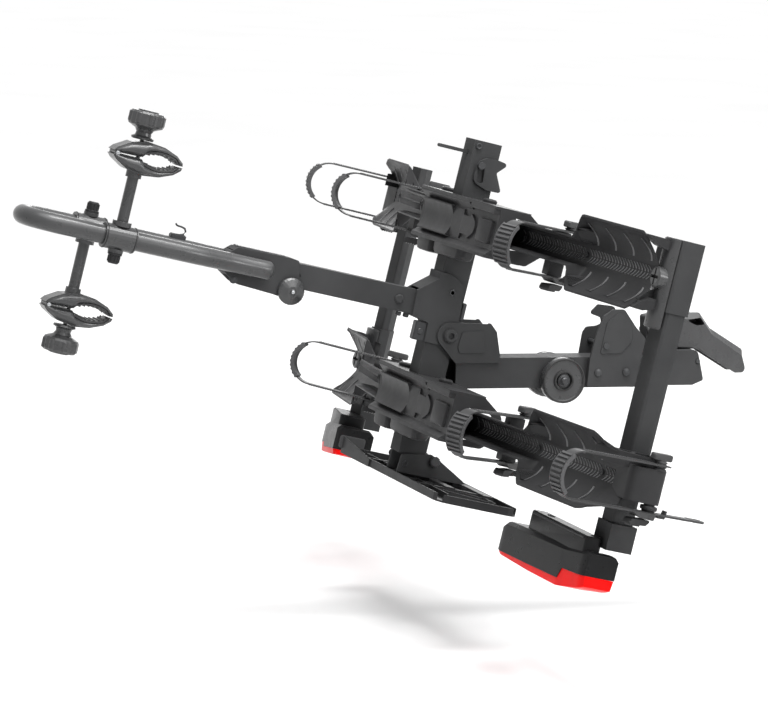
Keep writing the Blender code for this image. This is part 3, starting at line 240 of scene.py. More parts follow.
def rounded(corners, steps=4):
    """An outline whose corners (a, b, radius) become arcs; a corner of two numbers stays sharp."""
    outline = []
    for i, corner in enumerate(corners):
        here = Vector(corner[:2])
        if len(corner) < 3:
            outline.append(tuple(here))
            continue
        before = (Vector(corners[i - 1][:2]) - here).normalized()
        after = (Vector(corners[(i + 1) % len(corners)][:2]) - here).normalized()
        half = before.angle(after) / 2
        centre = here + (before + after).normalized() * corner[2] / sin(half)
        reach = corner[2] / tan(half)
        first = here + before * reach - centre
        sweep = first.angle_signed(here + after * reach - centre)
        for k in range(steps + 1):
            spin = -sweep * k / steps
            outline.append((centre.x + first.x * cos(spin) - first.y * sin(spin),
                            centre.y + first.x * sin(spin) + first.y * cos(spin)))
    return outline


def loft(loops):
    """A closed skin through loops of equally many points, with flat ends."""
    shape = bmesh.new()
    rings = [[shape.verts.new(p) for p in loop] for loop in loops]
    count = len(rings[0])
    for low, high in zip(rings, rings[1:]):
        for i in range(count):
            j = (i + 1) % count
            shape.faces.new((low[i], low[j], high[j], high[i]))
    shape.faces.new(rings[0][::-1])
    shape.faces.new(rings[-1])
    bmesh.ops.recalc_face_normals(shape, faces=shape.faces)
    return shape


def prism(outline, low, high, plane="XZ"):
    """An outline extruded square to its plane, from low to high."""
    place = PLANES[plane]
    return loft([[place(a, b, h) for a, b in outline] for h in (low, high)])


def pane(a, b, radius=0):
    """The outline of a rectangle between two pairs of limits, its corners rounded by a radius."""
    corners = [(a[0], b[0]), (a[0], b[1]), (a[1], b[1]), (a[1], b[0])]
    return rounded([(*corner, radius) for corner in corners]) if radius else corners


def block(x, y, z, edge=0):
    """A box between pairs of limits, its edges along Y rounded by edge."""
    return prism(pane(x, z, edge), *y)


def limits(side, first, last):
    """A pair of limits on one side of the middle, in rising order."""
    return sorted((side * first, side * last))


def around(count, radius):
    """Points evenly spaced on a circle."""
    return [(radius * cos(2 * pi * k / count), radius * sin(2 * pi * k / count)) for k in range(count)]


def turned(profile, centre, axis="Y", steps=28):
    """A solid of revolution; the profile holds (radius, height) points, its ends on the axis or joined up."""
    place = {"X": lambda r, t, h: (h, r * cos(t), r * sin(t)), "Y": lambda r, t, h: (r * sin(t), h, r * cos(t)),
             "Z": lambda r, t, h: (r * cos(t), r * sin(t), h)}[axis]
    shape = bmesh.new()
    rings = []
    for radius, height in profile:
        count = steps if radius else 1
        rings.append([shape.verts.new(place(radius, 2 * pi * i / steps, height)) for i in range(count)])
    pairs = list(zip(rings, rings[1:])) + ([(rings[-1], rings[0])] if len(rings[0]) > 1 else [])
    for low, high in pairs:
        for i in range(steps):
            j = (i + 1) % steps
            corners = [low[i % len(low)], low[j % len(low)], high[j % len(high)], high[i % len(high)]]
            shape.faces.new(list(dict.fromkeys(corners)))
    bmesh.ops.recalc_face_normals(shape, faces=shape.faces)
    bmesh.ops.translate(shape, vec=centre, verts=shape.verts)
    return shape


def mirrored(profile, sign):
    """A profile with its heights turned about."""
    return [(radius, sign * height) for radius, height in profile]


def rod(radius, low, high, centre, axis="Y", steps=28, bevel=0):
    """A round bar, its limits measured from its centre along the axis, its rims taken off by bevel."""
    if bevel:
        profile = [(0, low), (radius - bevel, low), (radius, low + bevel), (radius, high - bevel),
                   (radius - bevel, high), (0, high)]
    else:
        profile = [(0, low), (radius, low), (radius, high), (0, high)]
    return turned(profile, centre, axis, steps)


def softened(shape, amount, angle=40):
    """A shape with its sharper edges rounded off."""
    edges = [edge for edge in shape.edges if len(edge.link_faces) == 2 and edge.calc_face_angle() > radians(angle)]
    bmesh.ops.bevel(shape, geom=edges, offset=amount, segments=2, affect="EDGES", clamp_overlap=True)
    return shape


def as_mesh(name, shape):
    mesh = bpy.data.meshes.new(name)
    shape.to_mesh(mesh)
    shape.free()
    return mesh


def merged(shapes):
    """One shape that holds all the given closed shapes."""
    whole = bmesh.new()
    for shape in shapes:
        mesh = as_mesh("part", shape)
        whole.from_mesh(mesh)
        bpy.data.meshes.remove(mesh)
    return whole


def linked(name, data):
    """A new object with the given data, in the scene."""
    made = bpy.data.objects.new(name, data)
    bpy.context.scene.collection.objects.link(made)
    return made


def carved(base, removed=(), joined=()):
    """A shape after exact Booleans join some shapes to it and cut others out of it."""
    def lone(shape):
        bmesh.ops.recalc_face_normals(shape, faces=shape.faces)
        return linked("tool", as_mesh("tool", shape))

    target = lone(base)
    used = [target]
    for operation, shapes in (("UNION", joined), ("DIFFERENCE", removed)):
        for shape in shapes:
            used.append(lone(shape))
            step = target.modifiers.new(operation, "BOOLEAN")
            step.operation = operation
            step.object = used[-1]
            step.solver = "EXACT"
    result = bmesh.new()
    result.from_object(target, bpy.context.evaluated_depsgraph_get())
    for made in used:
        mesh = made.data
        bpy.data.objects.remove(made)
        bpy.data.meshes.remove(mesh)
    return result


def piece(name, shape, finish, body="platform", replaced=(), matrix=PLATFORM, smooth=32):
    """A piece made of one shape or a list of them in a frame's coordinates, set in place and riding on a body."""
    if isinstance(shape, list):
        shape = merged(shape)
    bmesh.ops.recalc_face_normals(shape, faces=shape.faces)
    shape.transform(METRES @ matrix)
    mesh = as_mesh(name, shape)
    mesh.shade_smooth()
    mesh.set_sharp_from_angle(angle=radians(smooth))
    mesh.materials.append(finish)
    made = linked(name, mesh)
    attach(made, body)
    if replaced:
        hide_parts(*replaced)


# Wheel trays

LAYOUT = (("upper_near", "upper", -1, False), ("upper_far", "upper", 1, True),
          ("lower_near", "lower", -1, True), ("lower_far", "lower", 1, False))
NECK = (NECK_HALF - TRAY_WALL, NECK_DEPTH)
WING = (WING_HALF, WING_DEPTH)
TREAD_START = 170
TREAD_PITCH = 8.2


def height_at(points, x):
    """The height at x of a line through points in rising order; past its end, the last height."""
    for (x0, y0), (x1, y1) in zip(points, points[1:]):
        if x0 <= x <= x1:
            return y0 + (y1 - y0) * (x - x0) / (x1 - x0)
    return points[-1][1]


def tray_floor(u):
    return POST_FRONT + NECK_DEPTH + (u - TRAY_ROOT) * tan(TRAY_SLOPE)


def section_rises(half, depth):
    """Heights z across a tray with the rise of its inner face there, in a smooth run from floor to rim."""
    foot, shoulder = 0.73 * NECK_HALF, 0.82 * half
    return [(0, 0), (10, 0), (14, depth * 0.03), (foot, depth * 0.1),
            (foot + (shoulder - foot) * 0.3, depth * 0.25), (foot + (shoulder - foot) * 0.65, depth * 0.47),
            (shoulder, depth * 0.71), (half * 0.93, depth * 0.86), (half, depth)]


def tray_point(side, row, u, z, lift):
    """A point on a tray's inner face, z above the trough's middle, lifted off it towards the wheel."""
    rise = height_at(section_rises(*(WING if u > WING_START else NECK)), abs(z))
    return Vector((tray_floor(u) - rise - lift, side * u, TROUGHS[row] + z))


def tray_loop(u, half, depth, side, trough):
    """Closed loop of a tray's wall at one station: the inner outline, then the outer one back."""
    rises = section_rises(half, depth)
    inner = [(-z, rise) for z, rise in rises[:0:-1]] + rises[1:]
    outer = []
    for z, rise in inner:
        lean = min(1, max(0, (abs(z) - 8) / 20))
        grow = TRAY_WALL * lean * (1 if z > 0 else -1)
        outer.append((z + grow, rise - TRAY_WALL * (1 - lean) if abs(z) < half * 0.99 else rise))
    for line in (inner, outer):
        for end in (0, -1):
            line[end] = (line[end][0], line[end][1] + 1.2)
    return [(tray_floor(u) - rise, side * u, trough + z) for z, rise in inner + outer[::-1]]


def ridge(path, side, foot, tall, crown):
    """A ridge along a path, wider at its foot than at its crown."""
    section = [Vector((x, side * y, 0)) for x, y in ((0, -foot), (-tall, -crown), (-tall, crown), (0, foot))]
    return loft([[point + offset for offset in section] for point in path])


def short_end(side, row):
    """Arms and web that carry a short tray on the side tube's sleeve."""
    trough = TROUGHS[row]
    rim = tray_floor(SHORT_END) - WING_DEPTH
    shelf = TUBE_FRONT - SLEEVE_WALL - GAP
    edge = WING_HALF
    upper = rounded([(rim + 4, edge - 4, 1.5), (rim + 4, edge, 1.5), (rim + 30, edge - 1, 2),
                     (shelf, edge - 8, 1.5), (shelf, edge - 20, 1.5), (rim + 22, edge - 14, 3)], 2)
    lower = rounded([(rim + 2, 2 - edge, 1.5), (rim + 14, 13 - edge, 2), (shelf - 20, 22 - edge, 3),
                     (shelf, 21 - edge, 1.5), (shelf, 9 - edge, 1.5), (rim + 20, 1 - edge, 2)], 2)
    parts = [prism([(x, trough + z) for x, z in outline], *limits(side, SHORT_END - 10, TUBE_INNER + 34))
             for outline in (upper, lower)]
    parts.append(block((shelf - 3, shelf - 0.2), limits(side, SHORT_END - 50, TUBE_INNER + 34),
                       (trough + 12 - edge, trough + edge - 10)))
    parts.append(prism([(rim + 12, trough + 16 - edge), (shelf, trough + 16 - edge), (shelf, trough + edge - 16),
                        (tray_floor(SHORT_END) + 4, trough + 20), (tray_floor(SHORT_END) + 4, trough - 20)],
                       *limits(side, SHORT_END - 6, SHORT_END - 3)))
    return parts


def long_end(side, row):
    """The hollow box behind a long tray's mouth that carries the outer strap, with two pockets in its roof."""
    middle = ROWS[row]
    high, low = middle + 29, middle - 23.5
    out = OUTER_STRAP[0] + 10
    back = OUTER_STRAP[1] + 5
    mouth = tray_floor(LONG_END) - 3
    inner = TUBE_INNER + TUBE_WIDTH + 1
    plan = rounded([(mouth - 4, side * inner), (mouth - 4, side * out, 12), (back, side * out, 9),
                    (back, side * inner)])
    roof = [(-36, LONG_END - 56), (-10, LONG_END + 2), (30, out - 4), (52, inner), (8, inner)]
    pockets = [[(-27, LONG_END - 45), (-5, LONG_END - 2), (12, LONG_END - 30)],
               [(1, LONG_END + 1), (24, out - 7), (40, inner + 4), (17, LONG_END - 28)]]
    crown = prism([(mouth + x, side * u) for x, u in roof], high - 6, middle + 44, "XY")
    cuts = [prism([(mouth + x, side * u) for x, u in pocket], high + 3, middle + 60, "XY") for pocket in pockets]
    centre = (OUTER_STRAP[1] - 8.5, side * OUTER_STRAP[0], 0)
    stack = [(0, high - 1), (12.2, high - 1), (12.2, high + 2.2), (10.2, high + 2.6), (10.2, high + 4),
             (11.8, high + 4.4), (11.8, middle + STRAP_RADIUS), (0, middle + STRAP_RADIUS)]
    knob = [(0, low + 1), (8.5, low + 1), (8.5, low - 2.5), (12.5, low - 3), (13.5, low - 5), (13, low - 8.5),
            (10, low - 10), (10, middle - STRAP_RADIUS), (0, middle - STRAP_RADIUS)]
    return [carved(prism(plan, low, high, "XY"), cuts, [crown]), turned(stack, centre, "Z", 24),
            turned(knob, centre, "Z", 24)]


def tray_shapes(side, row, is_long):
    trough = TROUGHS[row]
    stations = [(TRAY_ROOT, *NECK), (200, *NECK), (WING_START - 6, *NECK), (WING_START - 3.5, 26, 35.2),
                (WING_START - 1, 48, 34.5), (WING_START + 2, 55.5, WING_DEPTH), (WING_START + 7, *WING)]
    if is_long:
        stations += [(LONG_END - 62, *WING), (LONG_END - 48, WING_HALF * 0.95, WING_DEPTH),
                     (LONG_END - 36, WING_HALF * 0.86, WING_DEPTH * 0.94), (LONG_END - 18, WING_HALF * 0.74, 21),
                     (LONG_END, WING_HALF * 0.62, 8)]
    else:
        stations += [(SHORT_END - 4, *WING), (SHORT_END, WING_HALF - 3, WING_DEPTH)]
    shapes = [loft([tray_loop(u, half, depth, side, trough) for u, half, depth in stations])]
    seat = STRAP_RADIUS - GAP
    wall = NECK_HALF - 5.3
    for z in ((trough + wall, ROWS[row] + seat), (ROWS[row] - seat, trough - wall)):
        shapes.append(block((INNER_STRAP[1] - 38, INNER_STRAP[1] - 14),
                            limits(side, INNER_STRAP[0] + 1, INNER_STRAP[0] + 24), z, 2))
    return shapes + (long_end(side, row) if is_long else short_end(side, row))


def tray_tread(side, row, is_long):
    """Two rows of short slanted ridges down the trough's floor, pointing outward, between its screws."""
    shapes = []
    end = LONG_END - 20 if is_long else SHORT_END - 12
    for i in range(int((end - TREAD_START) / TREAD_PITCH)):
        u = TREAD_START + TREAD_PITCH * i
        if any(abs(u + 4 - screw) < 6.2 for screw in TRAY_SCREWS):
            continue
        for half in (-1, 1):
            path = [tray_point(side, row, u + 11 * (1 - t ** 1.5), half * (0.8 + 10 * t), -0.4)
                    for t in (0, 1 / 3, 2 / 3, 1)]
            shapes.append(ridge(path, side, 1.4, 1.3, 0.6))
    return shapes


def wing_fins(side, row):
    """Raised fins on both wings: each rises from its left edge to a crest along its curved right edge."""
    fins, crests = [], []
    upper = [(393.5 + 49.5 * i, 33, 22, -28, 18.5, 48) for i in range(4)]
    lower = [(389.5 + 48.8 * i, 32, 28.8, -22.8, -50, -23) for i in range(4)]
    for u0, wide, rise, bend, start, end in upper + lower:
        loops = []
        for k in range(9):
            t = k / 8
            z = start + (end - start) * t
            last = u0 + rise * t + bend * t * t
            first = u0 - wide + (rise + bend + wide) * t
            loops.append([tray_point(side, row, u, z, lift)
                          for u, lift in ((min(first, last - 0.3), -1), (last, 1), (last, -1))])
        fins.append(loft(loops))
        crests.append(ridge([loop[2] for loop in loops], side, 1.1, 3, 0.6))
    shift = Vector((0, -side * 12, 0)) if side > 0 or row == "lower" else Vector((0, 0, 0))
    path = [tray_point(side, row, u, z, -1) + shift for u, z in ((557.2, -17.4), (560, -23))]
    crests.append(ridge(path, side, 0.9, 2.4, 0.5))
    return fins, crests


def tray_screws(side, row):
    """Pan-head screws in ringed bosses along a trough."""
    ring = [(3, 1), (4.5, 1), (4.8, -1.2), (4.3, -1.8), (3.4, -1.6), (3, -0.4)]
    head = [(0, 0.6), (2.8, 0.6), (2.6, -0.8), (1.6, -1.4), (0.8, -1), (0, -0.6)]
    return [turned(profile, tray_point(side, row, u, 0, 0), "X", steps)
            for u in TRAY_SCREWS for profile, steps in ((ring, 18), (head, 14))]


for name, row, side, is_long in LAYOUT:
    fins, crests = wing_fins(side, row)
    piece(f"wheel_tray_{name}", tray_shapes(side, row, is_long), PLASTIC, replaced=(f"tray_{name}",))
    # The tread ridges and fin crests carry the pale painted-highlight material, not a colour of their own.
    piece(f"tread_{name}", tray_tread(side, row, is_long), RIDGE_PAINTED_HIGHLIGHT)
    piece(f"wing_fins_{name}", fins, PLASTIC)
    piece(f"wing_crests_{name}", crests, RIDGE_PAINTED_HIGHLIGHT)
    piece(f"tray_screws_{name}", tray_screws(side, row), BLACK_ZINC)


# Straps

STRAPS = (("a", 1, "upper", OUTER_STRAP), ("b", 1, "upper", INNER_STRAP), ("c", -1, "upper", INNER_STRAP),
          ("d", 1, "lower", INNER_STRAP), ("e", -1, "lower", INNER_STRAP), ("f", -1, "lower", OUTER_STRAP))
TOOTH_PITCH = 4.2


def strap_matrix(side, row, base_u, base_x, lean):
    """Places a strap that is drawn in its own plane: X runs out along the strap, Z up, Y across the band."""
    along = Vector((-cos(lean), side * sin(lean), 0))
    up = Vector((0, 0, 1))
    place = Matrix((along, up.cross(along), up)).transposed().to_4x4()
    place.translation = (base_x, side * base_u, row)
    return place


def band_points(reach):
    """Points along the band's inner line with their outward directions, from the tail round to the T end."""
    centre = reach - STRAP_RADIUS
    points = [((-STRAP_TAIL + (centre + STRAP_TAIL) * i / 30, -STRAP_RADIUS), (0, -1)) for i in range(30)]
    for k in range(25):
        a = radians(-90 + 7.5 * k)
        points.append(((centre + STRAP_RADIUS * cos(a), STRAP_RADIUS * sin(a)), (cos(a), sin(a))))
    return points + [((centre - (centre + 6) * i / 20, STRAP_RADIUS), (0, 1)) for i in range(1, 21)]


def strap_shapes(reach):
    """Band with ladder teeth, T end, buckle cheek and pull tab, all in the strap's own plane."""
    shapes = [loft([[(x + nx * lift, y, z + nz * lift) for y, lift in
                     ((-BAND_HALF, 0), (-BAND_HALF, BAND), (BAND_HALF, BAND), (BAND_HALF, 0))]
                    for (x, z), (nx, nz) in band_points(reach)])]
    top = STRAP_RADIUS + BAND
    level = top - 0.4
    end = reach - STRAP_RADIUS + 2
    for start, sign in ((-STRAP_TAIL + 14, -1), (18, 1)):
        for i in range(int((end - start) / TOOTH_PITCH)):
            x = start + TOOTH_PITCH * i
            if sign > 0 or not -6 < x < 44:
                tooth = [(x, sign * level), (x + 2.4, sign * level), (x + 1.9, sign * (level + 1.5)),
                         (x + 0.3, sign * (level + 1.5))]
                shapes.append(prism(tooth, 2.5 - BAND_HALF, BAND_HALF - 2.5))
    shapes.append(turned([(0, top - 2), (10.5, top - 2), (10.5, top + 0.8), (9.4, top + 1.4), (9.4, top + 2.4),
                          (10.8, top + 3), (10.8, top + 4.2), (8.6, top + 5), (8.2, top + 10), (0, top + 10)],
                         (8.5, 0, 0), "Z", 24))
    grip = rounded([(-9.5, -7.5, 5), (26.5, -7.5, 5), (26.5, 7.5, 5), (-9.5, 7.5, 5)])
    shapes.append(loft([[(x + (8.5 - x) * inset, y * (1 - inset), top + z) for x, y in grip]
                        for inset, z in ((0.12, 6), (0, 7.4), (0, 14), (0.1, 16))]))
    cheek = rounded([(BUCKLE_PIN - 10, 1.2 - top), (BUCKLE_PIN - 8, -9 - top, 3), (BUCKLE_PIN + 20, -7 - top, 3),
                     (BUCKLE_PIN + 34, 1.2 - top)])
    shapes.append(carved(prism(cheek, -BAND_HALF - 2, BAND_HALF + 2),
                         [block((BUCKLE_PIN - 4, BUCKLE_PIN + 24), (2 - BAND_HALF, BAND_HALF - 2),
                                (-20 - top, -2.6 - top))]))
    shapes.append(turned([(0, -BAND_HALF - 3), (2.2, -BAND_HALF - 3), (3, -BAND_HALF - 2.2), (3, BAND_HALF + 2.2),
                          (2.2, BAND_HALF + 3), (0, BAND_HALF + 3)], (BUCKLE_PIN, 0, -5.5 - top), "Y", 16))
    hook = rounded([(-8.5, -1 - top), (-18.5, -1 - top), (-20.5, 6 - STRAP_RADIUS, 1),
                    (-23.5, 6 - STRAP_RADIUS, 1), (-21.5, -4.5 - top, 2), (-8.5, -4.5 - top)])
    shapes.append(prism(hook, -4.5, 4.5))
    level = -STRAP_RADIUS - BAND / 2
    pull = rounded([(-12, -10.5, 8), (-12, 10.5, 8), (14, 13, 4), (14, -13, 4)])
    tab, hole = [prism([(x - STRAP_TAIL, y) for x, y in outline], level - deep, level + deep, "XY")
                 for outline, deep in ((pull, 1.7), (pane((-7, 7), (-6, 6), 5), 10))]
    return shapes + [carved(tab, [hole])]


def pad_shapes(reach):
    """Curved pad over the band's loop: a saddle with ten block ribs between two raised rims."""
    centre = (reach - STRAP_RADIUS, 0)
    sweep = 54
    inner, outer, tall = STRAP_RADIUS - 2.2, STRAP_RADIUS + 2, STRAP_RADIUS + 4.4

    def saddle(low, high):
        return arc(centre, low, sweep, -sweep, 18) + arc(centre, high, -sweep, sweep, 18)

    shapes = [prism(saddle(inner, outer), -PAD_HALF, PAD_HALF)]
    for i in range(10):
        start, end = [-sweep + sweep * (i + part) / 5 for part in (0.1, 0.62)]
        outline = arc(centre, outer - 0.8, start - 0.6, end + 0.6, 2) + arc(centre, tall, end - 0.6, start + 0.6, 2)
        shapes.append(prism(outline, 0.6 - PAD_HALF, PAD_HALF - 0.6))
    return shapes + [prism(saddle(inner - 0.6, outer + 1), *limits(side, PAD_HALF, PAD_HALF + 1.4))
                     for side in (-1, 1)]


for name, side, row, (base_u, base_x, lean, reach) in STRAPS:
    place = PLATFORM @ strap_matrix(side, ROWS[row], base_u, base_x, lean)
    piece(f"ladder_strap_{name}", strap_shapes(reach), STRAP_BLACK, replaced=(f"strap_{name}",), matrix=place)
    piece(f"strap_pad_{name}", pad_shapes(reach), PAD_GREY, matrix=place)
    starts = [BUCKLE_PIN + 12 + TOOTH_PITCH * i for i in range(5)]
    piece(f"buckle_grip_{name}",
          [block((x, x + 1.8), (2.5 - BAND_HALF, BAND_HALF - 2.5), (-59, -55.8), 0.5) for x in starts],
          STRAP_BLACK, f"buckle_{name}", matrix=place)


# Centre mouldings

def moulding_shapes(row):
    middle, trough = ROWS[row], TROUGHS[row]
    front = POST_FRONT - GAP
    web = front - MOULDING_WEB
    low, high = middle - MOULDING_DOWN, middle + MOULDING_UP
    edge = front - MOULDING_LIP
    half = MOULDING_HALF
    back = (front, MOULDING_BACK + 10)
    inside = (low + FLANGE, high - FLANGE)
    plan = rounded([(edge, -half, 4), (edge, MOULDING_FAR, 4), (MOULDING_BACK, MOULDING_FAR, 12),
                    (MOULDING_BACK, -half, 12)])
    cuts = [block((edge - 10, web), (-half - 10, half + 10), inside)]
    cuts += [block(back, limits(side, POST_HALF + 12, half + 10), inside) for side in (-1, 1)]
    cuts.append(block(back, (-POST_HALF - GAP, POST_HALF + GAP), (low - 10, high + 10)))
    body = carved(prism(plan, low, high, "XY"), cuts)
    cheek = rounded([(front - 2, low + 0.5), (front - 2, high - 0.5), (10, high - 0.5, 14),
                     (CHEEK_BACK, high - 26, 14), (CHEEK_BACK, low + 22, 14), (22, low + 0.5, 10)])
    bed = tray_floor(half) + TRAY_WALL + 1
    rim = tray_floor(half) - NECK_DEPTH - 2
    wide = NECK_HALF + 1
    passage = rounded([(rim, trough - wide), (rim, trough + wide), (bed, trough + wide - 4, 6),
                       (bed, trough - wide + 4, 6)])
    body = carved(body, [prism(passage, -half - 5, CHEEK_SHEET + 5 - half)],
                  [prism(cheek, -half, CHEEK_SHEET - half)])
    valance = [(edge + 0.6, high - FLANGE + 1), (edge + 0.6, high - FLANGE - 2), (web + 0.5, high - 17),
               (web + 0.5, high - FLANGE + 1)]
    skirt = [(edge + 0.6, low + FLANGE - 1), (edge + 0.6, low + FLANGE + 1), (web + 0.5, low + 14),
             (web + 0.5, low + FLANGE - 1)]
    shapes = [body, prism(valance, -95, MOULDING_FAR - 1), prism(skirt, 1 - half, MOULDING_FAR - 1),
              block((edge - 0.2, web + 1), (1 - half, -104), (high - 12.5, high - 1), 2)]

    saddle_low, saddle_high = middle - 19.5, middle + 30
    tall = (saddle_high - saddle_low) / 2
    centre = (saddle_low + saddle_high) / 2
    face = web - 8.5
    curve = [(face + 7.8 * cos(pi / 2 * t) ** 0.8 if abs(t) < 1 else face, centre + tall * t * 0.94)
             for t in (1 - k / 8 for k in range(17))]
    shapes += [prism([(web + 1, saddle_high), (face, saddle_high), *curve, (face, saddle_low), (web + 1, saddle_low)],
                     -20, 108),
               block((web - 2.2, web + 1), (-64, -20), (saddle_low + 1, saddle_high - 1), 1)]
    bow = rounded([(-64, centre - 20), (-64, centre + 20), (-100, centre + 20, 6), (-122, centre + 8, 12),
                   (-122, centre - 8, 12), (-100, centre - 20, 6)])
    slots = [prism(rounded([(-67, z - 4.5, 2), (-67, z + 4.5, 2), (-98, z + 4.5, 4), (-98, z - 4.5, 4)]),
                   web + 0.5, web - 6, "YZ") for z in (centre + 19.5, centre - 19.5)]
    shapes.append(carved(prism(bow, web + 1, web - 3.2, "YZ"), slots))
    pad, inset = [pane((-139 - d, -192 + d), (centre - 18.5 + d, centre + 18.5 - d), 3) for d in (0, 1.5)]
    shapes.append(loft([[(x, a, b) for a, b in outline]
                        for x, outline in ((web + 1, pad), (web - 4.5, pad), (web - 5.8, inset))]))

    feet = [rounded([(-48, 34, 8), (-48, 98, 8), (-18, 98, 8), (-18, 34, 8)]),
            rounded([(-49, -104, 10), (-49, 24, 10), (-14, 18, 10), (-14, -80, 10)])]
    for foot, depth in zip(feet, (20, 17.5)):
        middle_y = sum(y for _, y in foot) / len(foot)
        shapes.append(loft([[(x * (1 - t) - 32 * t, y * (1 - t) + middle_y * t, z) for x, y in foot]
                            for t, z in ((0, low + 1), (0.02, low - depth * 0.6), (0.1, low - depth * 0.92),
                                         (0.26, low - depth))]))
    return shapes + [turned([(0, -2), (wide - 1, -2), (wide, 1.8), (wide, 4.2), (wide - 2.2, 6.4), (0, 7)],
                            (-12, y, high), "Z") for y, wide in ((-85, 11.5), (85, 17))]


for row in ROWS:
    piece(f"cradle_moulding_{row}", moulding_shapes(row), PLASTIC, replaced=(f"centre_moulding_{row}",))


# Coupling and transport wheels

RINGS = [[(34.5, -1.5), (36.8, -0.8), (36.8, 0.4), (35.2, 1), (33.8, 0.2)],
         [(14.8, -4), (17.2, -3), (16.8, 1), (14.8, 1.4), (13.6, 0.2)]]
NUT = [(0, 2.4), (6.2, 2.4), (6.8, 3.6), (4.5, 6), (0, 6.2)]


def lever_shape():
    pin, level = LEVER_PIN
    corners = [(-20, 14, 5), (-8, 20, 6), (40, 34, 6), (77.5, 34, 5), (98.5, 7.5, 10), (160, -28.5, 8),
               (164.5, -66.5, 6), (145, -67, 8), (74, -26.2, 6), (38, -24.2), (20, -10, 4), (-10, -10, 6)]
    loops = []
    for y, drop, inset in ((-LEVER_HALF, 9.5, 2), (1.5 - LEVER_HALF, 8, 0), (-9.5, 0, 0),
                           (9.5, 0, 0), (LEVER_HALF - 1.5, 8, 0), (LEVER_HALF, 9.5, 2)):
        moved = [(pin + x - (4 if i == 5 and drop else 0), z - drop if i < 6 else z + inset, *r)
                 for i, (x, z, *r) in enumerate(corners)]
        loops.append([(a, y, b) for a, b in rounded(moved)])
    pocket = rounded([(pin + 49.6, 22.5, 2), (pin + 76.6, 26.2, 3), (pin + 85.6, 14, 3), (pin + 70.2, 13.2, 3)])
    under = rounded([(pin + 52, -85), (pin + 52, -9, 5), (pin + 98, -9, 20), (pin + 156, -43, 6), (pin + 148, -85)])
    return carved(loft(loops), [prism(pane((pin - 42, pin + 33.5), (-80, 80)), -13.2, 13.2),
                                prism(pocket, -40, LEVER_HALF - 8), prism(under, 3.5 - LEVER_HALF, LEVER_HALF - 3.5),
                                rod(4.3, -50, 50, (pin, 0, level))])


def wheel_part(profile, side, steps):
    """A ring or cap on a wheel's outer face."""
    return turned([(r, side * (WHEEL_FACE + h)) for r, h in profile], WHEEL_AXLE, "Y", steps)


piece("clamp_lever", lever_shape(), SATIN, "coupling_lever", ("coupling_lever",), HITCH)
for name, side in (("near", -1), ("far", 1)):
    for k, ring in enumerate(RINGS):
        piece(f"wheel_ring_{k}_{name}", wheel_part(ring, side, 36), SOFT_BLACK, f"wheel_{name}",
              matrix=HITCH)
    piece(f"axle_cap_{name}", wheel_part(NUT, side, 18), BLACK_ZINC, "hitch", matrix=HITCH)

piece("rivet_heads", [turned([(0, -39.6), (4, -39.4), (5.8, -38.4), (5.8, -37.8), (0, -37.8)], (x, 0, z), "Y", 18)
                      for x, z in ((260.3, -61.4), (310.5, -61))], BLACK_ZINC, "hitch", matrix=HITCH)


# Lamps

def lamp_loop(u, front, low, high, depth):
    back, corner = front + depth, 6
    return [(front, u, low), (back, u, low), (back, u, high - corner), (back - corner, u, high),
            (front + corner, u, high), (front, u, high - corner)]


def lamp_glass(u, front, low, bottom, depth):
    back = front + depth
    return [(front + 1, u, low - GAP), (back - 1, u, low - GAP), (back - 3, u, bottom), (front + 3, u, bottom)]


NEAR_LAMP = ((284, 59, -252, -294.5, -298.5), (292, 58, -248, -295.2, -300.5),
             (300, 58, -246, -295.2, -301.2), (400, 61.2, -244, -294.5, -304.5),
             (500, 64, -242.5, -293, -305), (507, 64.3, -242.2, -292.5, -304.5),
             (516, 65, -241.8, -276, -303), (572, 65.8, -236.2, -273.5, -294.5),
             (582, 66.8, -236, -272.8, -292), (590, 70, -237.5, -272, -288.5))
FAR_LAMP = ((0, 4, -226, -266, -274), (6, 0, -223, -266.5, -276.5),
            (109, 0, -231.8, -276, -285.5), (119, 0, -232.5, -268, -286.2),
            (142, 0, -234.5, -272, -287), (149, 3, -235, -272.5, -287.2),
            (152, 10, -236.5, -272.8, -286.8))


def lamp_shapes(stations, side, depth, start, reach, near_x, far_x, top):
    """Housing with its carrier on top, and the lens below it."""
    housing = loft([lamp_loop(side * u, front, low, high, depth) for u, front, high, low, _ in stations])
    carrier = rounded([(near_x, side * start, 10), (near_x, side * reach, 8), (far_x, side * reach, 8),
                       (far_x, side * start, 10)])
    carrier = softened(prism(carrier, -252, top, "XY"), 1.6, 70)
    notch = turned([(0, 4), (5, 4), (5, -3.5), (0, -4.5)],
                   ((near_x + far_x) / 2 + 3.5, side * (reach - 14), top), "Z", 20)
    glass = loft([lamp_glass(side * u, front, low, bottom, depth) for u, front, _, low, bottom in stations])
    return carved(housing, [notch], [carrier]), glass


turn = radians(12)
along_way = Vector((sin(turn), cos(turn), 0))
far_place = Matrix((Vector((cos(turn), -sin(turn), 0)), along_way, Vector((0, 0, 1)))).transposed().to_4x4()
far_place.translation = Vector((66, 602, 0)) - along_way * 152
for name, place, values in (("near", PLATFORM, (NEAR_LAMP, -1, 50, 347, 570, 69, 97, -215)),
                            ("far", PLATFORM @ far_place, (FAR_LAMP, 1, 62, 36, 146, 6, 52, -207))):
    housing, glass = lamp_shapes(*values)
    piece(f"tail_lamp_{name}", housing, LAMP_BLACK, replaced=(f"lamp_housing_{name}",), matrix=place)
    piece(f"tail_lens_{name}", glass, RED, replaced=(f"lamp_lens_{name}",), matrix=place)

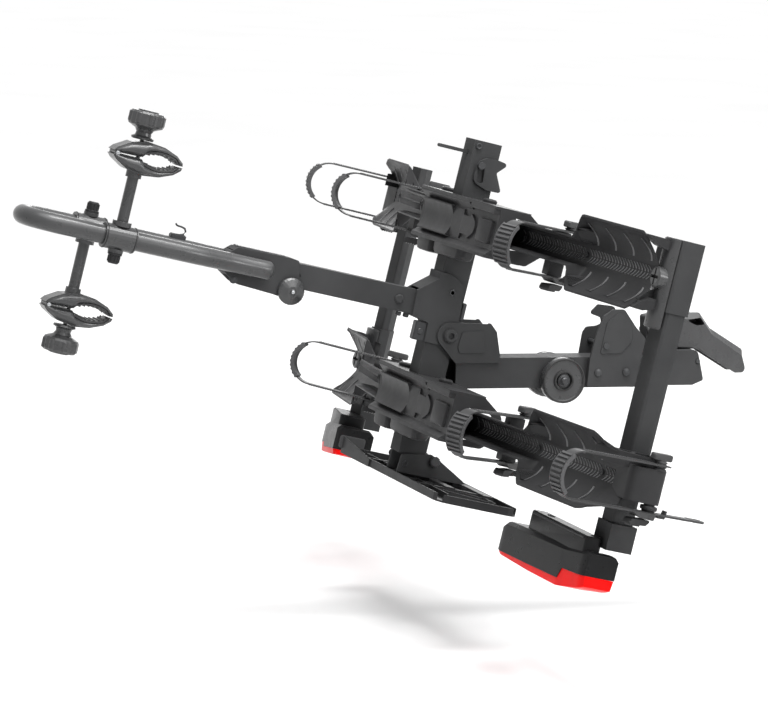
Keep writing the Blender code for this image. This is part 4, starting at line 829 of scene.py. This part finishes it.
ring = prism(pane((79.5, 87.5), (-386, -404), 3.5), -216, -213.8, "XY")
hole = prism(pane((81, 86), (-387.5, -402.5), 2.4), -215.2, -200, "XY")
piece("tail_lamp_trim_near", [carved(ring, [hole]),
                              turned([(5, -1), (5, 0.8), (5.8, 0.8), (6.4, -1)], (86.5, -556, -215), "Z", 24),
                              block((67.2, 69), (-560, -362), (-220.5, -217.5), 0.8)], PLASTIC)


# Number plate holder

def rib(first, last, high):
    """An upright rib of the holder's floor between two points (x, y)."""
    a, b = Vector(first), Vector(last)
    across = (b - a).normalized().orthogonal() * 1.1
    return prism([tuple(a + across), tuple(b + across), tuple(b - across), tuple(a - across)], PLATE_FLOOR, high, "XY")


ribs = []
for side in (-1, 1):
    ribs += [rib((-30 + 18 * k, side * (44 + 46 * k)), (94 - 12 * k, side * (100 + 40 * k)), -236.2)
             for k in range(3)]
    ribs += [rib((x, side * 40), (x, side * 192), -235.2) for x in (-6, 77)]
ribs += [block((18, 36), (-116, -40), (PLATE_FLOOR, -232.2), 2),
         block((77, 95), (-140, -32), (PLATE_FLOOR, -232.2), 2),
         prism([(90, -247.5), (226.2, -247.5), (226.2, -220), (90, -234.5)], -38.8, -36.2, "YZ"),
         block((70, 84), (-20, 20), (PLATE_FLOOR, -229), 2)]
ribs += [turned([(3, -12), (6.5, -12), (6.5, 8), (5.5, 9), (4, 9), (3, 6)], (x, y, -218), "Y", 20)
         for x, y in ((5, 100), (10, 52))]
piece("plate_holder_ribs", ribs, PLASTIC)
piece("plate_holder_lip", softened(block((-44, 2), (226.2, 230), (-240, -218), 4), 1.2), PAD_GREY)
cheek = rounded([(-33, -234.2), (-31, -204, 4), (20, -196, 4), (38, -204, 8), (84, -228.2, 4), (90, -234.2)])
bracket = carved(prism(cheek, -24.3, 24.3), [block((-80, 20.3), (-20.3, 20.3), (-260, -150)),
                                             block((20, 100), (-17.3, 17.3), (-230.2, -180))],
                 [rod(7.5, -28.3, 28.3, PLATE_KNOB, steps=20)])
piece("bracket_sheet", bracket, COATED, replaced=("plate_bracket",))
shapes = [turned([(0, -32), (7.2, -32), (8.2, -30.6), (8.2, -27.8), (0, -27.8)], PLATE_KNOB, "Y", 20)]
shapes += [rod(1, -31.2, -28.4, (PLATE_KNOB[0] + a, 0, PLATE_KNOB[2] + b), "Y", 6) for a, b in around(16, 8.2)]
shapes.append(turned([(3, -23.8), (5.2, -23.8), (5.2, -25.2), (3, -25.2)], (-22, 0, -219), "Y", 20))
piece("bracket_screws", shapes, BLACK_ZINC)


# Post, arm and side tubes

shapes = [turned([(2.2, -19.6), (5.2, -19.6), (5.2, -22.2), (4, -22.8), (2.2, -21.8)], (-27.4, 0, 308.7), "Y", 20)]
shapes += [turned([(0, -23.2), (2, -23), (3.6, -24.6), (4.4, -24.4), (4.8, -22.6), (0, -22)], (x, 0, z), "Y", 20)
           for x, z in ((4.8, 287.2), (4.2, 250.2))]
piece("catch_dimples", shapes, BLACK_ZINC)

shapes = [turned([(0, -22.6), (3, -22.6), (4.6, -23.5), (5.6, -23.3), (6, -22.2), (0, -22.2)],
                 (-11.6, 0, 68.4), "Y", 22),
          softened(block((-60, -37.5), (-20, -5), (-19, 12)), 1.2),
          turned([(0, -22.5), (4, -22.2), (5.2, -21), (5.2, -19), (0, -19)], (-50, 0, -4), "Y", 18),
          softened(block((11.5, 18), (-23.5, -16), (27, 56)), 1.2)]
shapes += [turned([(0, 0), (5, 0), (5, -5.2), (3.6, -6.6), (0, -6.6)], (x, -10, 19.2), "Z", 18)
           for x in (-77, -90.5)]
piece("arm_fixings", shapes, BLACK_ZINC)
piece("arm_slot", carved(prism(pane((-90, -70), (-9.8, -1.2), 3), 57.5, 60.5, "XY"),
                         [prism(pane((-88, -72), (-8, -3), 2.2), 59, 70, "XY")]), BLACK_ZINC)

shapes = []
middle = TUBE_INNER + TUBE_WIDTH / 2
boss = [(0, -12), (4, -12), (4, -18.5), (13.6, -18.5), (16.5, -16.5), (16.5, 2), (0, 2)]
for side, row, top in ((-1, ROWS["upper"], 247), (1, ROWS["lower"], ROWS["lower"] + 68)):
    bow = [(TUBE_FRONT - 3 - 12.5 * cos(t), side * (middle + (TUBE_WIDTH / 2 + 2.4) * sin(t)))
           for t in (pi * k / 16 - pi / 2 for k in range(17))]
    shapes.append(softened(prism(bow, row - 68, top, "XY"), 1.5, 70))
    x, y, z = TUBE_FRONT - 6, side * BOSS_OUT, row + BOSS_UP
    cross = [block((x - 30, x - 13.5), (y - w, y + w), (z - h, z + h)) for w, h in ((12.5, 2.2), (2.2, 12.5))]
    shapes.append(carved(turned(boss, (x, y, z), "X"), cross))
piece("sleeve_columns", shapes, SATIN)


# Hoop

def tube_shape(path, radius, steps=20):
    """A round tube along a path of points, its ends closed by domes."""
    loops = []
    last = len(path) - 1
    for i, point in enumerate(path):
        along = (path[min(i + 1, last)] - path[max(i - 1, 0)]).normalized()
        side = along.cross(Vector((0, 0, 1)))
        side = side.normalized() if side.length > 0.01 else Vector((0, 1, 0))
        up = side.cross(along).normalized()
        dome = [(0.35, -1), (0.7, -1), (0.92, -1)] if i == 0 else []
        tip = [(0.92, 1), (0.7, 1), (0.35, 1)] if i == last else []
        for k, way in (*dome, (1, 0), *tip):
            middle = point + along * way * radius * 0.6 * (1 - k ** 2) ** 0.5
            loops.append([middle + side * a + up * b for a, b in around(steps, radius * k)])
    return loft(loops)


bend_x = HOOP_TIP + TUBE_RADIUS + HOOP_HALF
legs = [Vector((x, y, HOOP_LEVEL)) for x, y in (
    (-333, -35.5), (-344, -35.5), (-355, -35.5), (-377, -35.5), (-407, -38), (-437, -45.5), (-462, -49.5),
    (-485, -HOOP_HALF), *((-485 + (bend_x + 485) * t, -HOOP_HALF) for t in (0.25, 0.5, 0.75, 1)))]
bend = [Vector((bend_x + HOOP_HALF * cos(a), HOOP_HALF * sin(a), HOOP_LEVEL))
        for a in (radians(270 - 7.5 * i) for i in range(1, 24))]
path = legs + bend + [Vector((p.x, -p.y, p.z)) for p in legs[::-1]]
piece("hoop_pipe", tube_shape(path, TUBE_RADIUS), SATIN, "hoop", ("hoop_tube",), smooth=50)

wire = [Vector((x, 49.5, z)) for x, z in ((-470, 58.5), (-462, 59), (-456, 61), (-453.5, 66), (-456, 70.5),
                                          (-462, 72.2), (-470, 73), (-472.2, 75.2))]
piece("hoop_hook", [tube_shape(wire, 1.6, 10), softened(block((-478, -452), (42.5, 56.5), (50, 60)), 1.6)],
      BLACK_ZINC, "hoop")
head = [(0, -22.2), (3.6, -22.2), (5, -21.4), (5, -20.4), (7, -20.4), (7, -19), (0, -19)]
piece("bracket_bolt", [turned(head, (-380.3, 0, 12.7), "Y", 20),
                       softened(block((-384, -300), (-12, 12), (63, 66.2)), 1)], BLACK_ZINC, "hoop")
pin = [(0, -37.6), (2.2, -37.4), (3, -36.4), (3, -35), (0, -35)]
piece("fold_knob_pin", turned(pin, FOLD_AT, "Y", 18), ZINC, "fold_knob")
rim = [(15, -30.2), (17, -29.6), (20, -27.2), (19.6, -26.2), (15, -29)]
piece("fold_knob_rim", turned(rim, FOLD_AT, "Y", 40), PLASTIC, "fold_knob")


# Frame clamps

JAW_BACK = ((-50, 3.4), (-44, 10), (-24, 21.5), (4, 26.5), (30, 23.5), (52, 15), (63, 6), (64, 1.2))


def jaw_mouth(x):
    """Height of the mouth's edge above the jaws' meeting line."""
    t = (54 - x) / 56
    return 1.8 + 9.8 * sin(pi * (0.1 + 0.8 * t)) if 0 <= t <= 1 else 1.2


def jaw_skin(sign, side):
    """Domed side of a half jaw, thicker in its middle than along its edges."""
    loops = []
    for x in [-47 + 5.5 * i for i in range(20)] + [60.5]:
        low = jaw_mouth(x) + (3.4 if -3 < x < 54 else 0.6)
        high = max(height_at(JAW_BACK, x) - 1, low + 0.6)
        swell = 8.5 * max(0.05, min(1, (high - low) / 14))
        dome = [(17.2 + swell * sin(pi * k / 6) ** 0.8, low + (high - low) * k / 6) for k in range(1, 6)]
        loops.append([(x, side * y, sign * z) for y, z in ((12, low), (17.2, low), *dome, (16.8, high), (12, high))])
    return loft(loops)


def jaw_lip(sign, side):
    """Raised rim of rubber that follows the mouth."""
    inner, outer = [[(x, sign * (jaw_mouth(x) + lift)) for x in (54.5 - 58.5 * k / 14 for k in range(15))]
                    for lift in (0.6, 3.6)]
    return prism(inner + outer[::-1], *limits(side, 16, 20))


def jaw_tooth(sign, x):
    level = jaw_mouth(x)
    return prism([(x + a, sign * (level + b)) for a, b in ((-1.7, 1.2), (-0.8, -2), (0.8, -2), (1.7, 1.2))],
                 -17.5, 17.5)


def clamp_details(name, at, y, direction, length):
    middle = HOOP_LEVEL + direction * (length + 29)
    place = PLATFORM @ Matrix.Translation((at + 5, y, middle))
    for kind, sign in (("rod", -direction), ("jaw", direction)):
        body = f"clamp_{kind}_{name}"
        piece(f"clamp_{kind}_skin_{name}", [jaw_skin(sign, side) for side in (-1, 1)], SATIN, body, matrix=place,
              smooth=50)
        piece(f"clamp_{kind}_lip_{name}", [jaw_lip(sign, side) for side in (-1, 1)]
              + [jaw_tooth(sign, 50 - 7.2 * k) for k in range(7)], STRAP_BLACK, body, matrix=place)
    pin = [(0, 20.8), (2.6, 20.6), (3.6, 19.6), (3.6, 16.8), (0, 16.8)]
    piece(f"clamp_pin_{name}", [turned(mirrored(pin, side), (-43, 0, 0), "Y", 16) for side in (-1, 1)], ZINC,
          f"clamp_rod_{name}", matrix=place)
    lobes = [rod(6.2, *limits(direction, 25, 42.5), (a, b, 0), "Z", 14, 1.5) for a, b in around(8, 24)]
    cap = [(0, 47), (15, 47), (16.5, 46.2), (16.5, 44), (0, 44)]
    piece(f"clamp_knob_lobes_{name}", lobes + [turned(mirrored(cap, direction), (0, 0, 0), "Z")], SATIN,
          f"clamp_knob_{name}", matrix=PLATFORM @ Matrix.Translation((at, y, middle + direction * 26.8)))
    base = PLATFORM @ Matrix.Translation((at, y, HOOP_LEVEL))
    piece(f"collar_knob_ribs_{name}", [rod(1.1, *limits(-direction, 29, 38.5), (a, b, 0), "Z", 8)
                                       for a, b in around(12, 9.2)],
          PLASTIC, f"clamp_collar_knob_{name}", matrix=base)
    piece(f"clamp_collar_rims_{name}", [turned([(19.6, x), (20.6, x + 0.4), (20.6, x + 1.6), (19.6, x + 2)],
                                               (0, 0, 0), "X", 32) for x in (-24.5, 22.5)],
          PLASTIC, f"clamp_collar_{name}", matrix=base, smooth=50)


clamp_details("near", -590, -HOOP_HALF, 1, 100)
clamp_details("far", -612, HOOP_HALF, -1, 102)


# Floor, light and camera

def stage_floor():
    made, tree, shader, place = shader_nodes("pale_floor")
    drift = noise(tree, place, 1.5)
    fill(tree, shader, Base_Color=tint(tree, drift, (0.86, 0.86, 0.86), (0.89, 0.89, 0.89)), Roughness=0.9,
         Specular_IOR_Level=0.1)
    shape = bmesh.new()
    bmesh.ops.create_grid(shape, x_segments=8, y_segments=8, size=60.0)
    mesh = as_mesh("floor", shape)
    mesh.materials.append(made)
    floor = linked("floor", mesh)
    floor.location = (0.0, 0.0, -0.40)


def world_light():
    """Even pale surroundings: the camera, gloss and glass see white, and the light itself is softer."""
    world = bpy.data.worlds.new("studio")
    bpy.context.scene.world = world
    world.use_nodes = True
    tree = world.node_tree
    background = tree.nodes["Background"]
    background.inputs["Color"].default_value = (1.0, 1.0, 1.0, 1.0)
    path = tree.nodes.new("ShaderNodeLightPath")
    seen = path.outputs["Is Camera Ray"]
    for other in ("Is Glossy Ray", "Is Transmission Ray"):
        seen = maths(tree, "MAXIMUM", seen, path.outputs[other])
    tree.links.new(spread(tree, seen, 0.12, 1.0, 0.0, 1.0), background.inputs["Strength"])


def aimed(name, light, direction, place=(0, 0, 0)):
    """A light in the scene that shines in a direction."""
    made = linked(name, light)
    made.location = place
    made.rotation_euler = Vector(direction).to_track_quat("-Z", "Y").to_euler()


def area_light(name, place, aim, size, power):
    light = bpy.data.lights.new(name, "AREA")
    light.shape = "RECTANGLE"
    light.size, light.size_y = size
    light.energy = power
    aimed(name, light, Vector(aim) - Vector(place), place)


def photo_camera():
    """The camera of the photograph: its turn, height and roll, and its long focal length."""
    azimuth, elevation, roll = radians(-20.35), radians(8.0), radians(2.5)
    focal, distance, right, up = 3690.0, 6.0, 0.0977, 0.0287
    forward = Vector((-sin(azimuth) * cos(elevation), cos(azimuth) * cos(elevation), -sin(elevation)))
    level = Vector((cos(azimuth), sin(azimuth), 0.0))
    above = level.cross(forward)
    across = level * cos(roll) + above * sin(roll)
    above = above * cos(roll) - level * sin(roll)
    camera = bpy.data.cameras.new("photo_camera")
    camera.sensor_width = 36.0
    camera.lens = 36.0 * focal / 768
    camera.clip_end = 400.0
    made = linked("photo_camera", camera)
    matrix = Matrix((across, above, -forward)).transposed().to_4x4()
    matrix.translation = PIVOT / 1000 - (forward * distance + across * right + above * up)
    made.matrix_world = matrix
    bpy.context.scene.camera = made


stage_floor()
world_light()
sun = bpy.data.lights.new("overhead", "SUN")
sun.energy = 3.5
sun.angle = radians(70)
aimed("overhead", sun, (-0.12, 0.42, -1.0))
area_light("key", (1.3, -3.2, 1.2), (-0.3, 0.0, 0.1), (0.9, 0.7), 34.0)
area_light("top", (-0.4, -0.5, 2.2), (-0.4, 0.0, 0.1), (1.5, 0.45), 46.0)
area_light("back", (1.5, 4.2, 0.9), (-0.3, 0.0, 0.1), (2.4, 0.7), 22.0)
photo_camera()
bpy.context.scene.view_settings.view_transform = "Standard"
